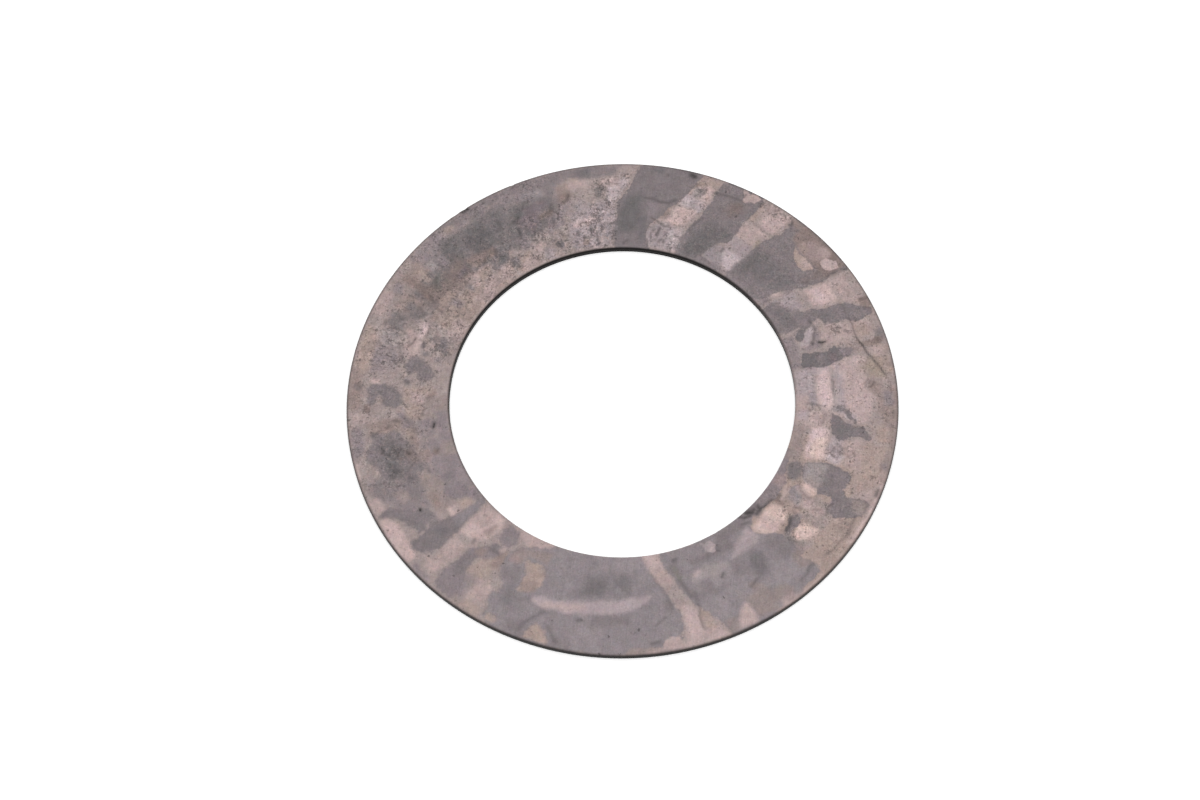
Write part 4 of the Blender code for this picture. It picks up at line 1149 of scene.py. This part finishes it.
def section():
    """The closed section as radius and z in mm, and how many rows each of its two edges has.

    It runs down the rim, in along the lower face, up the bore and out along the upper face.
    """
    edge = sheared_edge()
    rim = np.stack([RIM + edge[:, 0], edge[:, 1]], -1)
    bore = np.stack([BORE - edge[::-1, 0], edge[::-1, 1]], -1)
    under = np.linspace(rim[-1], bore[0], ROWS_UNDER + 2)[1:-1]
    top = np.linspace(bore[-1], rim[0], ROWS_FACE + 2)[1:-1]
    return np.concatenate([rim, under, bore, top]), len(rim)


def nicked_ring(rows):
    """Radius, height and angle of the ring's points, in mm, as arrays of steps round by rows of the section.

    A nick draws its edge into the metal by depth times e to the minus (angle over half width) squared, most
    at the upper face.
    """
    turn = np.arange(STEPS_ROUND)[:, None] * (2.0 * pi / STEPS_ROUND)
    radius = np.tile(rows[:, 0], (STEPS_ROUND, 1))
    height = np.tile(rows[:, 1], (STEPS_ROUND, 1))
    upper = ease(THICK - ROLL_DEPTH - 0.5 * LAND_HEIGHT, THICK - 0.5 * ROLL_DEPTH, height)
    for at_rim, degrees, depth, half_width in NICKS:
        away = (np.degrees(turn) - degrees + 180.0) % 360.0 - 180.0
        at_edge = ease(1.0, 0.0, -(radius - RIM) if at_rim else radius - BORE)
        cut = depth * np.exp(-(away / half_width) ** 2) * upper * ease(0.0, 0.6, at_edge)
        radius = radius - cut if at_rim else radius + cut
    return radius, height, turn


def store(mesh, name, values):
    """Writes a field to the mesh's points: one number a point, or a colour where it has three."""
    if values.ndim == 2:
        attribute = mesh.attributes.new(name, "FLOAT_COLOR", "POINT")
        values = np.concatenate([values, np.ones((len(values), 1))], 1)
        attribute.data.foreach_set("color", values.astype(np.float32).ravel())
    else:
        attribute = mesh.attributes.new(name, "FLOAT", "POINT")
        attribute.data.foreach_set("value", values.astype(np.float32))


def make_washer(face_material, edge_material):
    """The ring: each row of the section is carried once round, and four neighbouring points make a face.

    The upper face then sinks by MARK_DEPTH times its marks, and by slow noise of up to WAVE_DEPTH.
    """
    rows, edge_rows = section()
    radius, height, turn = nicked_ring(rows)
    x = (radius * np.cos(turn)).ravel()
    y = (radius * np.sin(turn)).ravel()
    z = height.ravel()

    upper = z > 0.5 * THICK
    painted = upper_stain(x[upper], y[upper])
    guessed = lower_stain(x[~upper], y[~upper])
    fields = {}
    for name, values in painted.items():
        fields[name] = np.empty((len(z),) + values.shape[1:])
        fields[name][upper] = values
        fields[name][~upper] = guessed[name]
    sunk = MARK_DEPTH * fields["mark"] + WAVE_DEPTH * (0.5 + 0.5 * rough_noise(x, y, WAVE_CELL, 51))
    bore_end = 2 * edge_rows + ROWS_UNDER
    on_top = np.tile(np.arange(len(rows)) > bore_end, STEPS_ROUND)
    z = z - sunk * on_top

    count = len(rows)
    step = np.arange(STEPS_ROUND)[:, None]
    row = np.arange(count)[None, :]
    after = (step + 1) % STEPS_ROUND
    below = (row + 1) % count
    corners = np.stack(np.broadcast_arrays(
        step * count + row, step * count + below, after * count + below, after * count + row), -1)

    mesh = bpy.data.meshes.new(WASHER)
    mesh.from_pydata(np.stack([x, y, z], -1) * MM, [], corners.reshape(-1, 4))
    for name, values in fields.items():
        store(mesh, name, values)
    wall = np.zeros(count, np.int32)
    wall[ROWS_ROLL:edge_rows - 1] = 1
    wall[edge_rows + ROWS_UNDER:bore_end - ROWS_ROLL - 1] = 1
    mesh.materials.append(face_material)
    mesh.materials.append(edge_material)
    mesh.polygons.foreach_set("material_index", np.tile(wall, STEPS_ROUND))
    mesh.shade_smooth()
    mesh.update()
    ring = bpy.data.objects.new("stained_washer", mesh)
    bpy.context.scene.collection.objects.link(ring)
    return ring


def add(tree, kind, inputs=None, **settings):
    """Adds a node, sets its properties, and gives its inputs values or links them to other nodes' outputs."""
    node = tree.nodes.new(kind)
    for name, value in settings.items():
        setattr(node, name, value)
    for place, value in (inputs or {}).items():
        if isinstance(value, bpy.types.NodeSocket):
            tree.links.new(value, node.inputs[place])
        else:
            node.inputs[place].default_value = value
    return node


def figure(tree, operation, a, b=0.0, c=0.0, clamp=False):
    """The output of one Math node."""
    return add(tree, "ShaderNodeMath", {0: a, 1: b, 2: c}, operation=operation, use_clamp=clamp).outputs[0]


def scaled(tree, value, by, plus=0.0, clamp=False):
    """A value times `by`, plus `plus`."""
    return figure(tree, "MULTIPLY_ADD", value, by, plus, clamp)


def about_zero(tree, value):
    """A value less a half, so that a noise swings about zero."""
    return figure(tree, "SUBTRACT", value, 0.5)


def stepped(tree, value, low, high):
    """A smooth step from 0 at `low` to 1 at `high`."""
    return add(tree, "ShaderNodeMapRange", {"Value": value, "From Min": low, "From Max": high},
               interpolation_type="SMOOTHSTEP").outputs["Result"]


def blended(tree, share, first, second, kind="MIX"):
    """The output of one colour Mix node: the first colour, turning to the second as the share goes to 1."""
    return add(tree, "ShaderNodeMix", {0: share, 6: first, 7: second}, data_type="RGBA", blend_type=kind,
               clamp_factor=True).outputs[2]


def tinted(tree, colour, shade):
    """A colour multiplied by a shade or by another colour."""
    return blended(tree, 1.0, colour, shade, "MULTIPLY")


def field(tree, name, output="Fac"):
    """A field of the mesh, read as one number, or as a colour by output "Color"."""
    return add(tree, "ShaderNodeAttribute", attribute_name=name).outputs[output]


def in_mm(tree, stretch=(1.0, 1.0, 1.0), turn=0.0):
    """Object coordinates in millimetres, turned about the bore's axis and then stretched."""
    place = add(tree, "ShaderNodeTexCoord").outputs["Object"]
    turned = add(tree, "ShaderNodeMapping", {"Vector": place, "Rotation": (0.0, 0.0, turn)}).outputs[0]
    scale = tuple(share / MM for share in stretch)
    return add(tree, "ShaderNodeMapping", {"Vector": turned, "Scale": scale}).outputs[0]


def noisy(tree, place, scale, detail, roughness, swirl=0.0):
    """A noise texture's value, about 0.5 at its middle."""
    return add(tree, "ShaderNodeTexNoise", {"Vector": place, "Scale": scale, "Detail": detail,
                                            "Roughness": roughness, "Distortion": swirl}).outputs["Fac"]


def hue_drift(tree, place, scale, strength):
    """A colour near white whose red, green and blue wander separately, by up to half the strength."""
    wander = add(tree, "ShaderNodeTexNoise", {"Vector": place, "Scale": scale, "Detail": 3.0})
    spread = add(tree, "ShaderNodeVectorMath", {0: wander.outputs["Color"], 1: (strength,) * 3,
                                                2: (1.0 - 0.5 * strength,) * 3}, operation="MULTIPLY_ADD")
    return spread.outputs[0]


def new_group(name, inputs, outputs):
    """An empty node group with its sockets: (name, type, value) for inputs and (name, type) for outputs."""
    tree = bpy.data.node_groups.new(name, "ShaderNodeTree")
    for label, kind, value in inputs:
        tree.interface.new_socket(label, in_out="INPUT", socket_type=kind).default_value = value
    for label, kind in outputs:
        tree.interface.new_socket(label, in_out="OUTPUT", socket_type=kind)
    return tree, add(tree, "NodeGroupInput").outputs, add(tree, "NodeGroupOutput").inputs


def placed(tree, group, inputs):
    """Places a node group in a material and returns its outputs."""
    return add(tree, "ShaderNodeGroup", inputs, node_tree=group).outputs


def new_material(name):
    """A new material, its node tree, and the inputs of its surface shader."""
    material = bpy.data.materials.new(name)
    material.use_nodes = True
    return material, material.node_tree, material.node_tree.nodes["Principled BSDF"].inputs


def rolled_grain():
    """The sheet's own grain: a fine even noise, and faint lines along the way it was rolled."""
    tree, given, result = new_group(
        "rolled_grain",
        [("Strength", "NodeSocketFloat", 1.0)],
        [("Shade", "NodeSocketFloat"), ("Height", "NodeSocketFloat")],
    )
    fine = noisy(tree, in_mm(tree), 4.0, 4.0, 0.75)
    lines = noisy(tree, in_mm(tree, (5.0, 0.22, 1.0), radians(8.0)), 1.0, 3.0, 0.6)
    height = scaled(tree, fine, 0.6, scaled(tree, lines, 0.4))
    tree.links.new(scaled(tree, about_zero(tree, height), given["Strength"], 1.0), result["Shade"])
    tree.links.new(height, result["Height"])
    return tree


def ragged_border():
    """Turns a depth in mm into a mask with a ragged border, and gives the thin line just inside it."""
    tree, given, result = new_group(
        "ragged_border",
        [("Depth", "NodeSocketFloat", 0.0), ("Raggedness", "NodeSocketFloat", 0.15),
         ("Softness", "NodeSocketFloat", 0.1)],
        [("Mask", "NodeSocketFloat"), ("Border", "NodeSocketFloat")],
    )
    wander = scaled(tree, about_zero(tree, noisy(tree, in_mm(tree), 1.3, 4.0, 0.6)), 4.0)
    depth = scaled(tree, wander, given["Raggedness"], given["Depth"])
    outer = scaled(tree, given["Softness"], -1.0)
    tree.links.new(stepped(tree, depth, outer, given["Softness"]), result["Mask"])
    rise = stepped(tree, depth, -0.10, 0.10)
    fall = stepped(tree, depth, 0.12, 0.34)
    tree.links.new(figure(tree, "SUBTRACT", rise, fall), result["Border"])
    return tree


def specks():
    """Small dots, one in a share of the cells of a Voronoi pattern, each of its own size."""
    tree, given, result = new_group(
        "specks",
        [("Share", "NodeSocketFloat", 0.1), ("Cells per mm", "NodeSocketFloat", 2.0),
         ("Size", "NodeSocketFloat", 0.3)],
        [("Mask", "NodeSocketFloat")],
    )
    here = in_mm(tree)
    wander = add(tree, "ShaderNodeTexNoise", {"Vector": here, "Scale": 3.0, "Detail": 2.0}).outputs["Color"]
    moved = add(tree, "ShaderNodeVectorMath", {0: here, 1: wander}, operation="ADD").outputs[0]
    cells = add(tree, "ShaderNodeTexVoronoi", {"Vector": moved, "Scale": given["Cells per mm"]})
    chance = add(tree, "ShaderNodeSeparateColor", {"Color": cells.outputs["Color"]}).outputs
    chosen = figure(tree, "LESS_THAN", chance["Red"], given["Share"])
    own_size = scaled(tree, given["Size"], figure(tree, "ADD", chance["Green"], 0.35))
    inside = figure(tree, "SUBTRACT", own_size, cells.outputs["Distance"])
    tree.links.new(scaled(tree, stepped(tree, inside, -0.05, 0.12), chosen), result["Mask"])
    return tree


# Colours of dirt, of steel, of painted shade and of painted highlights in the materials, in linear light
GRIT = (0.055, 0.048, 0.048, 1.0)
# The dark of the painted shade along the edges and of their seam of dirt
SEAM_DIRT_AND_SHADE = (0.022, 0.020, 0.020, 1.0)
BLOTCH = (*linear((104, 100, 98)), 1.0)
WARM_STEEL = (*linear((186, 160, 154)), 1.0)
# The pale steel of the painted glints
GLINT_HIGHLIGHT = (*linear((206, 184, 180)), 1.0)
# The sheared wall's near black: dark steel, darkened further as painted shade
WALL_STEEL_AND_SHADE = (0.006, 0.005, 0.005, 1.0)
LAND_GREY = (0.030, 0.027, 0.026, 1.0)
WARM_TINT = (1.16, 1.04, 0.99, 1.0)
WHITE = (1.0, 1.0, 1.0, 1.0)


def film_over_steel(tree, here, mottle, edge):
    """The colour of film and of bare steel with their mottling, and a faint dark line inside the border."""
    broad = about_zero(tree, noisy(tree, here, 0.55, 5.0, 0.6))
    film_shade = scaled(tree, mottle, 0.50, scaled(tree, broad, 0.45, 1.04))
    bare_shade = scaled(tree, mottle, 0.57, scaled(tree, broad, 0.45, 1.05))
    warm = stepped(tree, noisy(tree, here, 1.1, 3.0, 0.5), 0.5, 0.75)
    tint = blended(tree, scaled(tree, warm, 0.40), WHITE, WARM_TINT)
    bare_tone = tinted(tree, tinted(tree, field(tree, "bare_tone", "Color"), bare_shade), tint)
    film_tone = tinted(tree, field(tree, "film_tone", "Color"), film_shade)
    worn = stepped(tree, noisy(tree, here, 2.1, 4.0, 0.65), 0.58, 0.76)
    film_tone = blended(tree, scaled(tree, worn, 0.22), film_tone, WARM_STEEL)
    colour = blended(tree, edge["Mask"], bare_tone, film_tone)
    colour = tinted(tree, colour, hue_drift(tree, here, 0.8, 0.10))
    colour = tinted(tree, colour, hue_drift(tree, here, 3.6, 0.13))
    return blended(tree, scaled(tree, edge["Border"], 0.07), colour, GRIT)


def speckled_dirt(tree, here, colour, speckled):
    """Pale wisps, shaded islands and dull blotches, where the steel is thick with specks."""
    ridge = figure(tree, "ABSOLUTE", about_zero(tree, noisy(tree, here, 0.7, 2.0, 0.5, 1.6)))
    off_ridge = stepped(tree, ridge, 0.0, 0.035)
    wisp = scaled(tree, figure(tree, "SUBTRACT", 1.0, off_ridge), scaled(tree, speckled, 0.6))
    colour = blended(tree, wisp, colour, WARM_STEEL)
    dirty = stepped(tree, speckled, 0.22, 0.42)
    islands = stepped(tree, noisy(tree, here, 0.5, 4.0, 0.5, 1.2), 0.50, 0.55)
    patchy = scaled(tree, figure(tree, "SUBTRACT", islands, 0.36), scaled(tree, dirty, 0.17), 1.0)
    colour = tinted(tree, colour, patchy)
    cloudy = scaled(tree, dirty, stepped(tree, noisy(tree, here, 1.0, 4.0, 0.55, 1.0), 0.50, 0.60))
    return blended(tree, scaled(tree, cloudy, 0.30), colour, BLOTCH)


def dark_spots(tree, here, thick, mottle, edge, dots):
    """How dark each place is spotted: by a few round dots, by many fine crumbs, or by the marks."""
    share = scaled(tree, thick, 0.17, 0.03)
    few = placed(tree, dots, {"Share": share, "Cells per mm": 1.3, "Size": 0.26})["Mask"]
    crumbs = scaled(tree, thick, 0.20, noisy(tree, here, 2.4, 2.0, 0.6, 0.6))
    many = scaled(tree, stepped(tree, crumbs, 0.62, 0.76), scaled(tree, edge["Mask"], -0.25, 0.5))
    dotted = figure(tree, "MAXIMUM", scaled(tree, few, 0.6), many)
    mark = scaled(tree, field(tree, "mark"), scaled(tree, mottle, 2.4, 1.0), clamp=True)
    return figure(tree, "MAXIMUM", dotted, mark)


def stained_face(grain, border, dots):
    """Film and bare steel in their own tones, with mottling, flecks, small marks and the sheet's grain."""
    material, tree, surface = new_material("stained_steel_face")
    here = in_mm(tree)
    edge = placed(tree, border, {"Depth": field(tree, "film"), "Raggedness": 0.34,
                                 "Softness": field(tree, "softness")})
    sheet = placed(tree, grain, {"Strength": 1.0})
    mottle = about_zero(tree, noisy(tree, here, 1.5, 4.0, 0.65, 0.9))
    speckled = field(tree, "speckled")
    clumps = stepped(tree, noisy(tree, here, 0.55, 3.0, 0.6, 0.8), 0.42, 0.62)
    thick = scaled(tree, speckled, scaled(tree, clumps, 1.3, 0.4))
    dark = dark_spots(tree, here, thick, mottle, edge, dots)

    colour = film_over_steel(tree, here, mottle, edge)
    # Painted highlights: the glints, laid in a pale steel colour
    colour = blended(tree, field(tree, "glint"), colour, GLINT_HIGHLIGHT)
    colour = speckled_dirt(tree, here, colour, speckled)
    colour = blended(tree, dark, colour, GRIT)
    fine = about_zero(tree, noisy(tree, here, 3.4, 2.0, 0.7))
    colour = tinted(tree, colour, scaled(tree, fine, scaled(tree, thick, 1.9, 0.32), 1.0))
    colour = tinted(tree, colour, sheet["Shade"])
    # Painted shade along both edges, over a seam of dirt along the rim
    colour = blended(tree, field(tree, "dirt_and_shade"), colour, SEAM_DIRT_AND_SHADE)
    tree.links.new(colour, surface["Base Color"])

    dull = scaled(tree, edge["Mask"], 0.08, 0.40)
    dull = scaled(tree, about_zero(tree, sheet["Height"]), 0.25, dull)
    dull = scaled(tree, field(tree, "rubbed"), -0.12, dull)
    tree.links.new(scaled(tree, dark, 0.3, dull, clamp=True), surface["Roughness"])
    tree.links.new(scaled(tree, dark, -0.5, 0.94, clamp=True), surface["Metallic"])
    step = scaled(tree, edge["Mask"], 0.35, sheet["Height"])
    bump = add(tree, "ShaderNodeBump", {"Strength": 0.10, "Distance": 0.02 * MM, "Height": step})
    tree.links.new(bump.outputs[0], surface["Normal"])
    return material


def edge_steel(grain):
    """The sheared wall: near black steel with painted shade, the burnished land a little brighter towards its
    foot.
    """
    material, tree, surface = new_material("stained_steel_edge")
    sheet = placed(tree, grain, {"Strength": 0.9})
    height = add(tree, "ShaderNodeSeparateXYZ", {0: in_mm(tree)}).outputs["Z"]
    rise = stepped(tree, height, LAND_FOOT - 0.08, LAND_FOOT + 0.02)
    fall = stepped(tree, height, LAND_FOOT + 0.06, LAND_FOOT + 0.20)
    line = figure(tree, "SUBTRACT", rise, fall)
    # The wall's near black is painted shade over dark steel
    colour = tinted(tree, blended(tree, line, WALL_STEEL_AND_SHADE, LAND_GREY), sheet["Shade"])
    tree.links.new(colour, surface["Base Color"])
    tree.links.new(scaled(tree, line, -0.15, 0.6), surface["Roughness"])
    surface["Metallic"].default_value = 0.5
    surface["Specular IOR Level"].default_value = 0.07
    bump = add(tree, "ShaderNodeBump", {"Strength": 0.2, "Distance": 0.03 * MM, "Height": sheet["Height"]})
    tree.links.new(bump.outputs[0], surface["Normal"])
    return material


def make_camera(centre):
    """The photograph's viewpoint: the ring's centre, stepped back along the line of sight and rolled.

    The camera looks a little past the ring's centre, by the angles that put the centre where the view has it.
    """
    focal = LENS / SENSOR * IMAGE_WIDTH
    back = Vector((0.0, -cos(VIEW_ELEVATION), sin(VIEW_ELEVATION)))
    level = Vector((1.0, 0.0, 0.0))
    upright = back.cross(level)
    right = cos(VIEW_ROLL) * level + sin(VIEW_ROLL) * upright
    up = cos(VIEW_ROLL) * upright - sin(VIEW_ROLL) * level
    forward = -back
    a = -np.arctan2(CENTRE_RIGHT, focal)
    b = -np.arctan2(CENTRE_UP, focal)
    right, forward = cos(a) * right - sin(a) * forward, sin(a) * right + cos(a) * forward
    up, forward = cos(b) * up - sin(b) * forward, sin(b) * up + cos(b) * forward
    data = bpy.data.cameras.new("camera")
    data.lens = LENS
    data.sensor_width = SENSOR
    data.clip_start = 0.01
    data.clip_end = 20.0
    camera = bpy.data.objects.new("camera", data)
    turned = Matrix((right, up, -forward)).transposed().to_4x4()
    camera.matrix_world = Matrix.Translation(centre + back * VIEW_DISTANCE_IN_RADII * RIM * MM) @ turned
    bpy.context.scene.collection.objects.link(camera)
    bpy.context.scene.camera = camera


def make_floor():
    """A wide pale disc just under the washer: a fan of triangles round its centre, then rings of faces."""
    turn = np.linspace(0.0, 2.0 * pi, FLOOR_STEPS, endpoint=False)
    x = FLOOR_RINGS[:, None] * np.cos(turn)
    y = FLOOR_RINGS[:, None] * np.sin(turn)
    points = np.stack([x, y, np.full_like(x, -FLOOR_GAP * MM)], -1).reshape(-1, 3)
    points = np.concatenate([[[0.0, 0.0, -FLOOR_GAP * MM]], points])
    around = np.arange(FLOOR_STEPS)
    after = (around + 1) % FLOOR_STEPS
    faces = np.stack([0 * around, 1 + around, 1 + after], -1).tolist()
    for ring in range(len(FLOOR_RINGS) - 1):
        inner = 1 + FLOOR_STEPS * ring
        outer = inner + FLOOR_STEPS
        faces += np.stack([inner + around, outer + around, outer + after, inner + after], -1).tolist()
    mesh = bpy.data.meshes.new("floor")
    mesh.from_pydata(points, [], faces)
    material, tree, surface = new_material("pale_floor")
    surface["Base Color"].default_value = (0.94, 0.94, 0.94, 1.0)
    surface["Roughness"].default_value = 0.9
    surface["Emission Color"].default_value = WHITE
    surface["Emission Strength"].default_value = 0.45
    mesh.materials.append(material)
    floor = bpy.data.objects.new("floor", mesh)
    bpy.context.scene.collection.objects.link(floor)


def light_studio():
    """A white tent, brightest overhead and behind the washer, half as bright low on the camera's side."""
    world = bpy.data.worlds.new("studio")
    bpy.context.scene.world = world
    world.use_nodes = True
    tree = world.node_tree
    direction = add(tree, "ShaderNodeTexCoord").outputs["Generated"]
    towards = (0.0, cos(VIEW_ELEVATION), sin(VIEW_ELEVATION))
    facing = add(tree, "ShaderNodeVectorMath", {0: direction, 1: towards}, operation="DOT_PRODUCT")
    overhead = stepped(tree, facing.outputs["Value"], 0.0, 0.85)
    tree.links.new(scaled(tree, overhead, TENT_MORE, TENT_LOW), tree.nodes["Background"].inputs["Strength"])
    tree.nodes["Background"].inputs["Color"].default_value = WHITE


grain_group = rolled_grain()
washer = make_washer(stained_face(grain_group, ragged_border(), specks()), edge_steel(grain_group))
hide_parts(WASHER)
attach(washer, "root")

make_camera(Vector((0.0, 0.0, THICK * MM)))
make_floor()
light_studio()
bpy.context.scene.view_settings.view_transform = "Standard"
